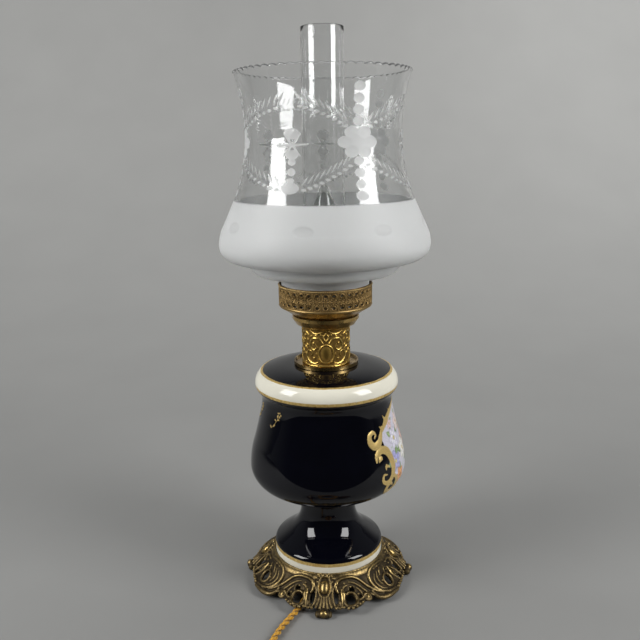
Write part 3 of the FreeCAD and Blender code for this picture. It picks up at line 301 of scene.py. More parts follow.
def sheet_with_holes(name, outer, inner, keep):
    """A closed sheet between two grids of points, with only the cells where keep is true.

    The grids close round the lamp if keep has as many columns as they have. Also gives the
    numbers of the grid points that are used, in the order of the sheet's vertices."""
    rows, columns = outer.shape[:2]
    keep = np.pad(keep, ((0, 0), (0, columns - keep.shape[1])))
    row, column = np.nonzero(keep)
    beside = (column + 1) % columns
    corner = [row * columns + column, row * columns + beside,
              (row + 1) * columns + beside, (row + 1) * columns + column]
    count = rows * columns
    quads = [np.stack(corner, -1), np.stack(corner[::-1], -1) + count]
    padded = np.pad(keep, ((1, 1), (0, 0)))
    neighbours = [padded[:-2], np.roll(keep, -1, 1), padded[2:], np.roll(keep, 1, 1)]
    for side, neighbour in enumerate(neighbours):
        is_open = ~neighbour[row, column]
        start, end = corner[side][is_open], corner[(side + 1) % 4][is_open]
        quads.append(np.stack([end, start, start + count, end + count], -1))
    points = np.concatenate([outer.reshape(-1, 3), inner.reshape(-1, 3)])
    used, quads = np.unique(np.concatenate(quads), return_inverse=True)
    return quad_object(name, points[used], quads.reshape(-1, 4)), used


def frames_along(path):
    """Unit tangents with two normals that don't twist, along points in a row."""
    path = np.asarray(path, float)
    tangents = np.gradient(path, axis=0)
    tangents /= np.linalg.norm(tangents, axis=1)[:, None]
    normal = np.cross(tangents[0], [0.0, 0.0, 1.0])
    if np.linalg.norm(normal) < 0.1:
        normal = np.cross(tangents[0], [1.0, 0.0, 0.0])
    normals = []
    for tangent in tangents:
        normal = normal - tangent * normal.dot(tangent)
        normal = normal / np.linalg.norm(normal)
        normals.append(normal)
    normals = np.array(normals)
    return tangents, normals, np.cross(tangents, normals)


def tube(path, radii, sides=8, up=None):
    """Vertices and faces of a closed tube along points, of one radius or one for each point.

    With up, a direction for each point, the first vertex of each ring is square to it."""
    tangents, first, second = frames_along(path)
    if up is not None:
        second = up - tangents * (up * tangents).sum(1)[:, None]
        second /= np.linalg.norm(second, axis=1)[:, None]
        first = np.cross(second, tangents)
    angles = np.arange(sides) * TURN / sides
    ring = (np.cos(angles)[None, :, None] * first[:, None]
            + np.sin(angles)[None, :, None] * second[:, None])
    vertices = path[:, None] + np.broadcast_to(radii, len(path))[:, None, None] * ring
    return vertices.reshape(-1, 3), capped_faces(len(path), sides)


class Shells:
    """Gathers closed shells into one mesh."""

    def __init__(self):
        self.vertices, self.faces, self.count = [], [], 0

    def put(self, vertices, faces):
        self.vertices.append(vertices)
        self.faces += [[index + self.count for index in face] for face in faces]
        self.count += len(vertices)

    def make(self, name, sharp_angle=40):
        return new_object(name, np.concatenate(self.vertices), self.faces, sharp_angle)


def smooth_path(points, per_span=6):
    """A Catmull-Rom curve through points."""
    points = np.asarray(points, float)
    padded = np.concatenate([[2 * points[0] - points[1]], points, [2 * points[-1] - points[-2]]])
    share = (np.arange(per_span) / per_span)[:, None]
    spans = []
    for before, start, end, after in zip(padded, padded[1:], padded[2:], padded[3:]):
        spans.append(0.5 * (2 * start + (end - before) * share
                            + (2 * before - 5 * start + 4 * end - after) * share**2
                            + (3 * start - before - 3 * end + after) * share**3))
    return np.concatenate(spans + [points[-1:]])


# ---------------------------------------------------------------- camera, floor and light

SENSOR_WIDTH = 36
CAMERA_DISTANCE = 740
CAMERA_LEVEL = 470
CAMERA_LENS = 41.45
CAMERA_PITCH = 13.734
CAMERA_YAW = 0.459
CAMERA_ROLL = -0.86

FLOOR_FRONT = 420
FLOOR_BACK = 600
WALL_HEIGHT = 2600
SWEEP_RADIUS = 1800
FLOOR_HALF_WIDTH = 3200
FLOOR_DROP = 0.2
SWEEP_STEP = 60

# Soft boxes: name, distance, angle from the camera's, level, width, height, power, the
# point that it faces, and whether gloss reflects it.
LIGHTS = [
    ("left_box", 1250, -66, 900, 560, 800, 15.5, (0, 0, 250), True),
    ("right_box", 1250, 62, 900, 560, 800, 15.5, (0, 0, 250), True),
    ("top_box", 300, 180, 1900, 1100, 900, 3, (0, 0, 250), True),
    ("wall_right", 1500, 128, 1700, 1200, 700, 33, (2300, -1000, 700), False),
    ("wall_left", 1500, -118, 1700, 1200, 700, 30, (2300, 1200, 1000), False),
]


def make_camera():
    data = bpy.data.cameras.new("camera")
    data.lens = CAMERA_LENS
    data.sensor_width = SENSOR_WIDTH
    camera = linked("camera", data)
    turn = (Matrix.Rotation(math.radians(VIEW_ANGLE + 90 + CAMERA_YAW), 4, "Z")
            @ Matrix.Rotation(math.radians(90 - CAMERA_PITCH), 4, "X")
            @ Matrix.Rotation(math.radians(CAMERA_ROLL), 4, "Z"))
    place = Vector(polar(CAMERA_DISTANCE, VIEW_ANGLE, CAMERA_LEVEL) * MM)
    camera.matrix_world = Matrix.Translation(place) @ turn
    bpy.context.scene.camera = camera


def make_backdrop():
    """A floor that sweeps up into a wall behind the lamp, as seen by the camera."""
    wall = FLOOR_BACK + SWEEP_RADIUS
    # The arc is a hair wider than the sweep, so that rounding can't make it too small for it.
    corners = [(-FLOOR_FRONT, 0), (FLOOR_BACK, 0, SWEEP_RADIUS * 1.0001), (wall, SWEEP_RADIUS),
               (wall, WALL_HEIGHT)]
    outline = dense_outline(corners, SWEEP_STEP, closed=False)
    away = np.array([*(-polar(1, VIEW_ANGLE, 0))[:2], 0])
    side = np.array([-away[1], away[0], 0])
    rows = [outline[:, :1] * away + outline[:, 1:] * [0, 0, 1] + side * half
            for half in (-FLOOR_HALF_WIDTH, FLOOR_HALF_WIDTH)]
    count = len(outline)
    faces = [(i, i + 1, count + i + 1, count + i) for i in range(count - 1)]
    item = new_object("backdrop", np.concatenate(rows), faces, 0)
    material, tree = shader("backdrop", Roughness=0.75, Specular_IOR_Level=0.3)
    tint = mix(tree, noise(tree, 180, 2), (0.250, 0.250, 0.243), (0.275, 0.275, 0.267))
    set_sockets(material, Base_Color=tint, Normal=bump(tree, noise(tree, 1.2, 2), 0.15, 0.25))
    item.data.materials.append(material)
    item.location.z = -FLOOR_DROP * MM


def make_lights():
    for name, distance, angle, level, width, height, power, aim, glossy in LIGHTS:
        data = bpy.data.lights.new(name, "AREA")
        data.shape = "RECTANGLE"
        data.size, data.size_y = width * MM, height * MM
        data.energy = power
        light = linked(name, data)
        light.visible_glossy = glossy
        place = Vector(polar(distance, VIEW_ANGLE + angle, level) * MM)
        towards = (Vector(aim) * MM - place).to_track_quat("-Z", "Y")
        light.matrix_world = Matrix.Translation(place) @ towards.to_matrix().to_4x4()
    world = bpy.data.worlds.new("studio")
    world.use_nodes = True
    tree = world.node_tree
    forward = add(tree, "VectorMath", add(tree, "TexCoord"), tuple(polar(1, VIEW_ANGLE, 0)),
                  operation="DOT_PRODUCT", out=1)
    background = tree.nodes["Background"]
    background.inputs["Color"].default_value = (0.94, 0.97, 1.0, 1)
    tree.links.new(ramp(tree, forward, -0.2, 0.5, 0.15, 0.03), background.inputs["Strength"])
    bpy.context.scene.world = world
    bpy.context.scene.view_settings.view_transform = "Standard"


# ---------------------------------------------------------------- flex
# The route, in millimetres, as the flex lies; a coil of the spare length, six
# turns in two columns, lies out of the camera's view.

LEAD_ROUTE = [
    (-37.8, 13.0, 6.5), (-53.9, 18.6, 6.4), (-68.3, 22.8, 4.4), (-83.3, 28.4, 3.3),
    (-97.8, 35.5, 3.3), (-112.6, 41.5, 3.3), (-128.4, 46.0, 3.3), (-141.2, 49.2, 4.4),
    (-151.3, 52.1, 6.0), (-156.0, 53.7, 6.0),
]
SWITCH_ROUTE = [(-170.0, 58.5, 4.6), (-186.0, 64.0, 4.6)]
LINK_ROUTE = [
    (-201.4, 69.3, 6.0), (-206.1, 70.9, 6.0), (-220.3, 75.8, 5.2), (-236.2, 73.9, 3.8),
    (-249.3, 64.8, 3.3), (-256.3, 50.3, 3.3), (-255.8, 34.3, 3.3), (-251.6, 18.9, 3.3),
    (-245.9, 3.8, 3.6), (-241.3, -10.9, 4.1),
]
TAIL_ROUTE = [
    (-239.4, -17.7, 10.4), (-236.7, -33.6, 8.8), (-228.2, -47.5, 5.4), (-215.0, -57.2, 3.6),
    (-200.6, -63.7, 5.2), (-187.1, -70.2, 7.0), (-180.8, -73.3, 7.0),
]
COIL_CENTRE = (-201.7, -12.1)
COIL_TURNS = 6
COIL_START_ANGLE = 183
COIL_POINTS_PER_TURN = 15
COIL_INNER_RADIUS = 34.92
COIL_OUTER_RADIUS = 41.36
COIL_LOW, COIL_HIGH, COIL_EXIT = 4.05, 22.95, 10.35
FLEX_DIAMETER = 6.3
STRAND_RADIUS = 1.72
STRAND_PITCH = 17
STRAND_SIDES = 12
THREAD_PITCH = 2.6
FLOOR_GAP = 0.02
FLEX_STEP = 0.9


def coil_section(turn):
    """Radius and level of the coil after so many turns: in below, up inside, down outside."""
    marks = [0, 0.6, 1, 4, 4.4, COIL_TURNS]
    radii = [COIL_OUTER_RADIUS] * 2 + [COIL_INNER_RADIUS] * 2 + [COIL_OUTER_RADIUS] * 2
    levels = [COIL_LOW] * 3 + [COIL_HIGH] * 2 + [COIL_EXIT]
    return np.interp(turn, marks, radii), np.interp(turn, marks, levels)


def coil_route():
    points = []
    for number in range(1, COIL_TURNS * COIL_POINTS_PER_TURN):
        turn = number / COIL_POINTS_PER_TURN
        radius, level = coil_section(turn)
        point = polar(radius, COIL_START_ANGLE + 360 * turn, level)
        points.append(tuple(point + [*COIL_CENTRE, 0]))
    return points


def flex_line():
    """Points on the smooth line of the whole flex, from its NURBS spline."""
    route = LEAD_ROUTE + SWITCH_ROUTE + LINK_ROUTE + coil_route() + TAIL_ROUTE
    data = bpy.data.curves.new("flex_line", "CURVE")
    data.dimensions = "3D"
    spline = data.splines.new("NURBS")
    spline.points.add(len(route) - 1)
    for point, place in zip(spline.points, route):
        point.co = (*(np.array(place) * MM), 1)
    spline.order_u = 3
    spline.use_endpoint_u = True
    spline.resolution_u = 12
    carrier = bpy.data.objects.new("flex_line", data)
    mesh = bpy.data.meshes.new_from_object(carrier)
    line = np.array([vertex.co[:] for vertex in mesh.vertices]) / MM
    bpy.data.objects.remove(carrier)
    bpy.data.meshes.remove(mesh)
    return line


def resampled(line, step):
    """Points evenly spaced along a line, with their distances along it."""
    along = np.concatenate([[0], np.cumsum(np.linalg.norm(np.diff(line, axis=0), axis=1))])
    wanted = np.linspace(0, along[-1], max(2, round(along[-1] / step)))
    return np.stack([np.interp(wanted, along, column) for column in line.T], -1), wanted


def silk():
    """Gold silk braid: slanting threads, painted shade between them and where the strands meet."""
    material, tree = shader("gold_silk", Roughness=0.48, Sheen_Weight=0.5,
                            Sheen_Tint=(1.0, 0.75, 0.4))
    thread, fleck = stored(tree, "thread"), noise(tree, 0.7, 4)
    # Thread stripes: painted shade in the grooves between threads and a painted sheen on their
    # crowns.
    thread_light_and_shade = mix(tree, thread, (0.38, 0.160, 0.006), (0.80, 0.41, 0.014))
    worn = mix(tree, ramp(tree, fleck, 0.45, 0.75, 0, 0.45), thread_light_and_shade, (0.80, 0.50, 0.075))
    # Painted shade: darker on the side of each strand that faces the other, where the strands meet.
    colour = mix(tree, ramp(tree, stored(tree, "depth"), 0.15, 0.75), (0.13, 0.050, 0.004), worn)
    height = calc(tree, "MULTIPLY_ADD", fleck, 0.5, thread)
    return set_sockets(material, Base_Color=colour, Normal=bump(tree, height, 0.16, 0.8))


def make_flex():
    """Two silk-covered strands twisted round the flex's line."""
    line, along = resampled(flex_line(), FLEX_STEP)
    _, first, second = frames_along(line)
    strands, threads, strand_shades = Shells(), [], []
    around_strand = np.arange(STRAND_SIDES) * TURN / STRAND_SIDES
    for phase in (0, math.pi):
        twist = along / STRAND_PITCH * TURN + phase
        outward = np.cos(twist)[:, None] * first + np.sin(twist)[:, None] * second
        centre = line + outward * (FLEX_DIAMETER / 2 - STRAND_RADIUS)
        centre[:, 2] = np.maximum(centre[:, 2], STRAND_RADIUS + FLOOR_GAP)
        strands.put(*tube(centre, STRAND_RADIUS, STRAND_SIDES, up=outward))
        waves = 0.5 + 0.5 * np.sin(2 * around_strand[None] + along[:, None] * TURN / THREAD_PITCH)
        threads.append(waves.ravel())
        # Painted shade of each strand: 0 where it meets the other strand, 1 on its outside.
        strand_shades.append(np.broadcast_to(0.5 + 0.5 * np.sin(around_strand), waves.shape).ravel())
    item = strands.make("flex_strands", 60)
    if len(item.data.vertices) == strands.count:
        set_attribute(item.data, "thread", np.concatenate(threads))
        set_attribute(item.data, "depth", np.concatenate(strand_shades))
    finish_piece(item, silk(), "lamp",
                 ("flex_lead", "flex_link", "flex_tail", "flex_coil"))


# ---------------------------------------------------------------- relief on turned surfaces


class Surface:
    """A turned surface given by an open outline; s is the distance along the outline."""

    def __init__(self, corners, step=0.25):
        self.outline = dense_outline(corners, step, closed=False)
        runs = np.linalg.norm(np.diff(self.outline, axis=0), axis=1)
        self.along = np.concatenate([[0], np.cumsum(runs)])
        tangent = np.gradient(self.outline, axis=0)
        tangent /= np.linalg.norm(tangent, axis=1)[:, None]
        self.normal = np.stack([tangent[:, 1], -tangent[:, 0]], -1)
        self.length = self.along[-1]

    def profile(self, s, lift=0.0):
        """Radius and level at s, lift millimetres off the surface."""
        place = [np.interp(s, self.along, self.outline[:, axis]) for axis in (0, 1)]
        normal = [np.interp(s, self.along, self.normal[:, axis]) for axis in (0, 1)]
        return place[0] + normal[0] * lift, place[1] + normal[1] * lift

    def at(self, s, angle, lift=0.0):
        radius, level = self.profile(s, lift)
        return polar(radius, angle, level)

    def find(self, level, start=0.0):
        """The distance along the outline, past start, at which it reaches a level."""
        past = self.along >= start
        levels, along = self.outline[past, 1], self.along[past]
        return float(along[np.argmin(np.abs(levels - level))])


class Canvas:
    """A grid on an unrolled surface, u round it and v along it, in millimetres."""

    def __init__(self, width, columns, rows, closed=True, soft=0.5):
        self.closed, self.soft, self.columns = closed, soft, columns
        self.step = width / (columns if closed else columns - 1)
        self.u, self.v = np.arange(columns) * self.step, np.asarray(rows, float)
        self.height = np.zeros((len(rows), columns))
        self.cover = np.zeros((len(rows), columns))
        self.colour = np.zeros((len(rows), columns, 3))

    def window(self, low, high):
        """The grid points in a box, as an index, with their places."""
        first, last = math.floor(low[0] / self.step), math.ceil(high[0] / self.step)
        if self.closed:
            columns = np.arange(first, last + 1)
        else:
            columns = np.arange(max(0, first), min(self.columns - 1, last) + 1)
        rows = np.nonzero((self.v >= low[1]) & (self.v <= high[1]))[0]
        u, v = np.meshgrid(columns * self.step, self.v[rows])
        return np.ix_(rows, columns % self.columns), u, v

    def lay(self, cells, edge, lift=0.0, rounding=1.0, colour=None, cover=None):
        """Lays a shape down; edge is how far inside it each point is."""
        mask = np.clip(edge / self.soft + 0.5, 0, 1)
        if lift:
            dome = lift * np.sqrt(np.clip(edge / rounding, 0, 1))
            pick = np.maximum if lift > 0 else np.minimum
            self.height[cells] = pick(self.height[cells], dome)
        if cover is not None:
            self.cover[cells] += (cover - self.cover[cells]) * mask
        if colour is not None:
            self.colour[cells] += (np.asarray(colour) - self.colour[cells]) * mask[..., None]

    def oval(self, centre, half_length, half_width, turn=0.0, **looks):
        """An oval whose length points turn degrees from u."""
        reach = max(half_length, half_width) + self.soft
        cells, u, v = self.window(np.array(centre) - reach, np.array(centre) + reach)
        cos, sin = math.cos(math.radians(turn)), math.sin(math.radians(turn))
        along = ((u - centre[0]) * cos + (v - centre[1]) * sin) / half_length
        across = ((v - centre[1]) * cos - (u - centre[0]) * sin) / half_width
        edge = (1 - np.hypot(along, across)) * min(half_length, half_width)
        self.lay(cells, edge, **looks)

    def line(self, points, widths, **looks):
        """A smooth stroke through points, of half-widths spread evenly along it."""
        path = smooth_path(points, 6) if len(points) > 2 else np.asarray(points, float)
        widths = spread(widths, len(path))
        reach = max(widths) + self.soft
        cells, u, v = self.window(path.min(0) - reach, path.max(0) + reach)
        edge = np.full(u.shape, -1e3)
        for start, run, first, second in zip(path, np.diff(path, axis=0), widths, widths[1:]):
            along = (u - start[0]) * run[0] + (v - start[1]) * run[1]
            share = np.clip(along / max(run @ run, 1e-9), 0, 1)
            away = np.hypot(u - start[0] - share * run[0], v - start[1] - share * run[1])
            edge = np.maximum(edge, first + (second - first) * share - away)
        self.lay(cells, edge, **looks)


# ---------------------------------------------------------------- materials


def antique_brass(name, recess, body, gilt, shine, grain=0.35):
    """Old gilt brass: brown in the hollows, worn bright on the ridges."""
    material, tree = shader(name)
    blotch, fine = noise(tree, 7, 5), noise(tree, grain, 4)
    height = shaken(tree, shaken(tree, stored(tree, "relief"), blotch, 0.9), fine, 0.5)
    colour = mix(tree, ramp(tree, height, 0, 0.35), recess, body)
    colour = mix(tree, ramp(tree, height, 0.65, 1), colour, gilt)
    grit = calc(tree, "MULTIPLY_ADD", blotch, 0.4, fine)
    return set_sockets(material, Base_Color=colour, Normal=bump(tree, grit, 0.12, 0.6),
                       Metallic=ramp(tree, height, 0, 0.5, 0.75, 1),
                       Roughness=ramp(tree, height, 0.1, 1, 0.62, shine))


def polished_brass(name, tint, tarnish, amount):
    """Lacquered brass, turned, with faint rings and brown tarnish in clouds."""
    material, tree = shader(name, Metallic=1.0, Coat_Weight=0.25, Coat_Roughness=0.12)
    speck = noise(tree, 0.6, 4)
    level = add(tree, "SeparateXYZ", coordinates(tree), out=2)
    rings = noise(tree, 0.35, place=add(tree, "CombineXYZ", 0.0, 0.0, level))
    dirt = calc(tree, "MULTIPLY_ADD", speck, 0.35, noise(tree, 9, 6, 0.6))
    colour = mix(tree, ramp(tree, dirt, 0.62, 0.92, 0, amount), tint, tarnish)
    height = calc(tree, "MULTIPLY_ADD", rings, 0.7, calc(tree, "MULTIPLY", speck, 0.3))
    return set_sockets(material, Base_Color=colour, Normal=bump(tree, height, 0.03, 0.35),
                       Roughness=ramp(tree, dirt, 0.45, 0.95, 0.16, 0.5))


def plated_metal(name, tint, rough):
    """Plated or bright metal with fine scratches and dull patches."""
    material, tree = shader(name, Metallic=1.0)
    patch = noise(tree, 5, 5)
    stretched = add(tree, "Mapping", coordinates(tree), None, None, (6, 0.5, 6))
    colour = mix(tree, ramp(tree, patch, 0.55, 0.8, 0, 0.7), tint, (0.30, 0.29, 0.28))
    return set_sockets(material, Base_Color=colour,
                       Roughness=ramp(tree, patch, 0.3, 0.8, rough, rough + 0.25),
                       Normal=bump(tree, noise(tree, 1.4, 6, 0.7, place=stretched), 0.02, 0.4))


def moulded(name, tint, streak, rough=0.3, coat=0.3):
    """A moulded plastic with faint flow marks, fine grain and scuffs."""
    material, tree = shader(name, Coat_Weight=coat, Coat_Roughness=0.15)
    colour = mix(tree, ramp(tree, noise(tree, 6, 5, distortion=1.6), 0.42, 0.68), tint, streak)
    scuff = ramp(tree, noise(tree, 2.2, 7, 0.7), 0.4, 0.75, rough, rough + 0.25)
    return set_sockets(material, Base_Color=colour, Roughness=scuff,
                       Normal=bump(tree, noise(tree, 0.35), 0.02, 0.35))


def matt_material(name, tint, other, size, depth, rough=0.9, sheen=0.0):
    """A matt material with a mottled colour and a grainy or fibrous surface."""
    material, tree = shader(name, Roughness=rough, Sheen_Weight=sheen)
    colour = mix(tree, ramp(tree, noise(tree, size * 4, 5), 0.35, 0.65), tint, other)
    fibre = noise(tree, size * 0.5, 6, distortion=2)
    return set_sockets(material, Base_Color=colour, Normal=bump(tree, fibre, depth, 0.7))


def between(tree, value, low, high):
    """1 where a value is between two others, 0 elsewhere."""
    return calc(tree, "MULTIPLY", calc(tree, "GREATER_THAN", value, low),
                calc(tree, "LESS_THAN", value, high))


GILT_METALLIC = 0.55


def glazed_porcelain(name, white, gold, wear):
    """Blue-black glaze with white and worn gold bands, each a (low, high) pair of levels."""
    material, tree = shader(name, Specular_IOR_Level=0.4)
    level = shaken(tree, add(tree, "SeparateXYZ", coordinates(tree), out=2), noise(tree, 9), 0.5)
    glaze, rubbed = noise(tree, 30), noise(tree, 2.2, 6, 0.7)
    black = mix(tree, glaze, (0.0008, 0.0009, 0.0022), (0.0022, 0.0024, 0.0058))
    cream = mix(tree, glaze, (0.90, 0.87, 0.74), (0.80, 0.77, 0.65))
    is_gold = between(tree, level, *gold[0])
    for band in gold[1:]:
        is_gold = calc(tree, "MAXIMUM", is_gold, between(tree, level, *band))
    is_gold = calc(tree, "MULTIPLY", is_gold, calc(tree, "GREATER_THAN", rubbed, wear))
    colour = mix(tree, between(tree, level, *white), black, cream)
    gilt = mix(tree, ramp(tree, rubbed, 0.4, 0.65), (0.62, 0.41, 0.12), (0.92, 0.70, 0.29))
    return set_sockets(material, Base_Color=mix(tree, is_gold, colour, gilt),
                       Metallic=calc(tree, "MULTIPLY", is_gold, GILT_METALLIC),
                       Roughness=calc(tree, "MULTIPLY_ADD", is_gold, 0.33, 0.05),
                       Normal=bump(tree, noise(tree, 3.5, 2), 0.02, 0.12))


def clear_glass(name, tint, smear):
    """Clear glass with faint ripples and a trace of dust."""
    material, tree = shader(name, Transmission_Weight=1.0, IOR=1.48)
    dust = noise(tree, 14, 6)
    colour = mix(tree, dust, tint, [0.985 * part for part in tint])
    return set_sockets(material, Base_Color=colour,
                       Roughness=ramp(tree, dust, 0.5, 0.8, 0.0, smear),
                       Normal=bump(tree, noise(tree, 18, 1), 0.25, 0.25))


def frosted_glass():
    """The shade's glass: clear, and milky where it is etched or engraved."""
    material, tree = shader("shade_glass", IOR=1.48)
    frost = stored(tree, "frost")
    milk = mix(tree, noise(tree, 25), (0.95, 0.965, 0.955), (0.985, 0.99, 0.985))
    soft = calc(tree, "MULTIPLY", frost, noise(tree, 0.5, 4))
    return set_sockets(material, Base_Color=mix(tree, frost, (0.994, 0.998, 0.997), milk),
                       Transmission_Weight=ramp(tree, frost, 0, 1, 1.0, 0.5),
                       Roughness=ramp(tree, frost, 0, 0.9, 0.015, 0.55),
                       Normal=bump(tree, soft, 0.05, 0.5))


def leather():
    """Thin brown strap leather with pores, creases and rubbed edges."""
    material, tree = shader("brown_leather", Roughness=0.5)
    pores = add(tree, "TexVoronoi", coordinates(tree), None, 1.6)
    colour = mix(tree, ramp(tree, noise(tree, 5, 6), 0.4, 0.7), (0.11, 0.045, 0.018),
                 (0.24, 0.115, 0.05))
    return set_sockets(material, Base_Color=colour, Normal=bump(tree, pores, 0.2, 0.5))


def painted_enamel(name):
    """Overglaze painting: each point's own colour, gold where it is gilt."""
    material, tree = shader(name, Coat_Weight=0.4, Coat_Roughness=0.08)
    gilt, stroke = stored(tree, "gilt"), noise(tree, 1.1, 5)
    colour = add(tree, "HueSaturation", None, None, ramp(tree, stroke, 0.3, 0.7, 0.78, 1.12), None,
                 stored(tree, "paint", 0))
    height = calc(tree, "MULTIPLY_ADD", noise(tree, 0.5, 4), 0.5, stroke)
    return set_sockets(material, Base_Color=colour,
                       Metallic=calc(tree, "MULTIPLY", gilt, GILT_METALLIC),
                       Roughness=ramp(tree, gilt, 0, 1, 0.35, 0.3),
                       Normal=bump(tree, height, 0.12, 0.5))


# ---------------------------------------------------------------- porcelain
FOOT_OUTLINE = [
    (58.6, 32.4), (58.6, 42.4, 6), (55.4, 47.2), (42, 57, -30), (29.7, 81, -40), (33, 97),
]
FONT_OUTLINE = [
    (8, 98), (33, 98, 130), (71, 114, 24.6), (82.8, 134.5, 95), (78.1, 162, -480),
    (69.3, 198, -51), (68.3, 208, -14.7), (71, 216.5, 12), (75.1, 225, 16), (68.7, 237.4, 105),
    (33, 243.5), (22, 243.5),
]
PORCELAIN_WALL = 4.5
PORCELAIN_STEP = 4


def make_porcelain():
    for name, outline, segments, node, *looks in (
            ("foot", FOOT_OUTLINE, 256, "porcelain_foot", (32, 38.9), [(38.9, 42.6)], 0.30),
            ("font", FONT_OUTLINE, 320, "porcelain_body", (223.0, 237.1),
             [(221.0, 224.2), (237.1, 238.1)], 0.36)):
        surface, angles = Surface(outline), around(segments)[None]
        outer = surface.at(surface.along[::4, None], angles)
        inner = surface.at(np.arange(surface.length, 0, -PORCELAIN_STEP)[:, None], angles,
                           -PORCELAIN_WALL)
        shell = grid_object(name + "_glazed", np.concatenate([outer, inner]))
        finish_piece(shell, glazed_porcelain(name + "_glaze", *looks), "lamp",
                     [node])


# ---------------------------------------------------------------- painting on the font
GOLD = (0.83, 0.60, 0.22)
PANEL_HALF_ANGLE = 56
PANEL_LOW, PANEL_HIGH = 112, 208
PANEL_STEP = 0.5
UNROLLED_RADIUS = 79
FONT_SHOULDER = 60
PAINT_LIFT, PAINT_DEPTH, PAINT_RELIEF = 0.12, 0.25, 0.9
PAINT_SOFTNESS, GILT_SOFTNESS = 0.7, 0.4
PAINTED_FROM = 0.45
PANEL_GROUND = (0.66, 0.64, 0.74)
STEM_GREEN = (0.45, 0.55, 0.40)


def flower(canvas, place, size, petals, tint, heart, turn):
    """A blossom of overlapping rounded petals in two rings, with a heart."""
    place = np.array(place)
    for ring in (0, 1):
        reach = size * (1 - 0.38 * ring)
        shade = np.array(tint) * (0.80 + 0.18 * ring)
        for number in range(petals):
            angle = turn + (number + 0.5 * ring) * 360 / petals
            outward = spoke(angle)
            centre = place + outward * reach * 0.55
            canvas.oval(centre, reach * 0.48, reach * 0.36, angle, lift=0.35 + 0.12 * ring,
                        rounding=reach * 0.3, colour=shade * 0.72, cover=1)
            canvas.oval(centre + outward * reach * 0.05, reach * 0.40, reach * 0.29, angle,
                        colour=shade)
            canvas.oval(centre + outward * reach * 0.16, reach * 0.2, reach * 0.15, angle,
                        colour=np.minimum(shade * 1.25, 0.95))
    canvas.oval(place, size * 0.2, size * 0.2, lift=0.6, colour=heart, cover=1)
    for angle in around(6):
        canvas.oval(place + spoke(angle) * size * 0.15, size * 0.05, size * 0.05,
                    colour=np.array(heart) * 0.5)


def leaf(canvas, place, length, turn, tint):
    """A pointed leaf with a pale midrib."""
    outward, tint = spoke(turn), np.array(tint)
    ends = [np.array(place) + outward * length * part for part in (0, 0.35, 0.7, 1)]
    canvas.line(ends, [0.3, length * 0.2, length * 0.17, 0.15], lift=0.2, colour=tint * 0.75,
                cover=1)
    canvas.line([ends[0] + outward * 0.5, ends[1], ends[2]], [0.2, length * 0.11, length * 0.08],
                colour=tint)
    canvas.line(ends, [0.25, 0.3, 0.25, 0.1], colour=np.minimum(tint * 1.9, 0.9))


def gold_line(canvas, gilt, points, widths, lift=0.55):
    """A raised gold stroke."""
    for target in (canvas, gilt):
        target.line(points, widths, lift=lift, rounding=max(widths), colour=GOLD, cover=1)


# One side of the panel's gold frame: strokes as (distance from the middle, level) points.
FRAME_STROKES = [
    ([(0, 206), (13, 203.5), (28, 198.5), (41, 192), (50, 185.5)], [0.5, 1.6, 2.1, 2.6, 1.4]),
    ([(50, 189), (54, 181), (58, 175), (65, 173), (70, 177.5), (70, 184), (65, 187), (61.5, 184),
      (63.5, 181)], [1.0, 2.0, 2.9, 2.8, 2.6, 2.2, 1.6, 1.0, 0.8]),
    ([(42, 195), (45, 199.5)], [1.5, 0.3]),
    ([(50, 187), (54.5, 190.5)], [1.5, 0.3]),
    ([(28, 198), (30, 203)], [1.2, 0.3]),
    ([(66, 158), (64, 164), (57, 167.5), (49, 164), (44.5, 155), (43.5, 145), (47, 136.5),
      (54, 133), (60, 136.5), (59, 142.5), (54.5, 142)],
     [1.0, 2.3, 2.9, 3.1, 2.9, 2.6, 2.3, 2.0, 1.5, 1.1, 0.8]),
    ([(63, 157), (60, 160)], [0.5, 2.0]),
    ([(50, 149), (54, 150.5), (55, 147)], [0.6, 1.6, 0.5]),
    ([(44, 139), (38, 131), (39, 124), (46, 119.5), (53, 122), (54, 128), (49, 131), (45.5, 128)],
     [1.2, 2.0, 2.3, 2.5, 2.3, 1.9, 1.5, 0.8]),
    ([(40, 124), (30, 119.5), (18, 117.5), (8, 119), (0, 117)], [2.0, 2.2, 1.8, 1.3, 1.8]),
    ([(26, 119), (22, 114.5)], [1.3, 0.3]),
    ([(12, 118), (9, 113.8)], [1.2, 0.3]),
]
FRAME_FULLNESS = 1.4
# The pale ground inside the frame: its half-width at each level.
GROUND_LEVELS = [119, 124, 131, 139, 155, 166, 176, 186, 192, 198, 203]
GROUND_HALVES = [25, 36, 37, 42, 43, 47, 51, 49, 41, 28, 13]
LEAF_GREENS = [(0.22, 0.34, 0.13), (0.33, 0.43, 0.20), (0.16, 0.27, 0.14)]
# Blossoms of the bouquet: place, size, petals, colour, heart colour.
BLOSSOMS = [
    ((-30, 172), 11, 6, (0.80, 0.77, 0.90), (0.75, 0.62, 0.25)),
    ((-37, 150), 11, 5, (0.46, 0.45, 0.76), (0.80, 0.70, 0.30)),
    ((-12, 184), 10, 6, (0.88, 0.70, 0.66), (0.72, 0.50, 0.20)),
    ((8, 165), 15, 7, (0.86, 0.50, 0.42), (0.80, 0.66, 0.30)),
    ((-12, 155), 12, 6, (0.90, 0.88, 0.82), (0.78, 0.60, 0.22)),
    ((27, 178), 11, 6, (0.52, 0.52, 0.82), (0.82, 0.70, 0.32)),
    ((33, 156), 11, 6, (0.88, 0.62, 0.46), (0.62, 0.36, 0.18)),
    ((10, 138), 11, 6, (0.80, 0.28, 0.12), (0.85, 0.66, 0.25)),
    ((-30, 133), 9, 5, (0.86, 0.40, 0.16), (0.45, 0.22, 0.10)),
    ((34, 134), 9, 5, (0.50, 0.50, 0.80), (0.80, 0.70, 0.30)),
    ((-34, 188), 6, 5, (0.84, 0.62, 0.64), (0.75, 0.60, 0.25)),
    ((14, 194), 6, 5, (0.50, 0.54, 0.80), (0.82, 0.70, 0.32)),
]
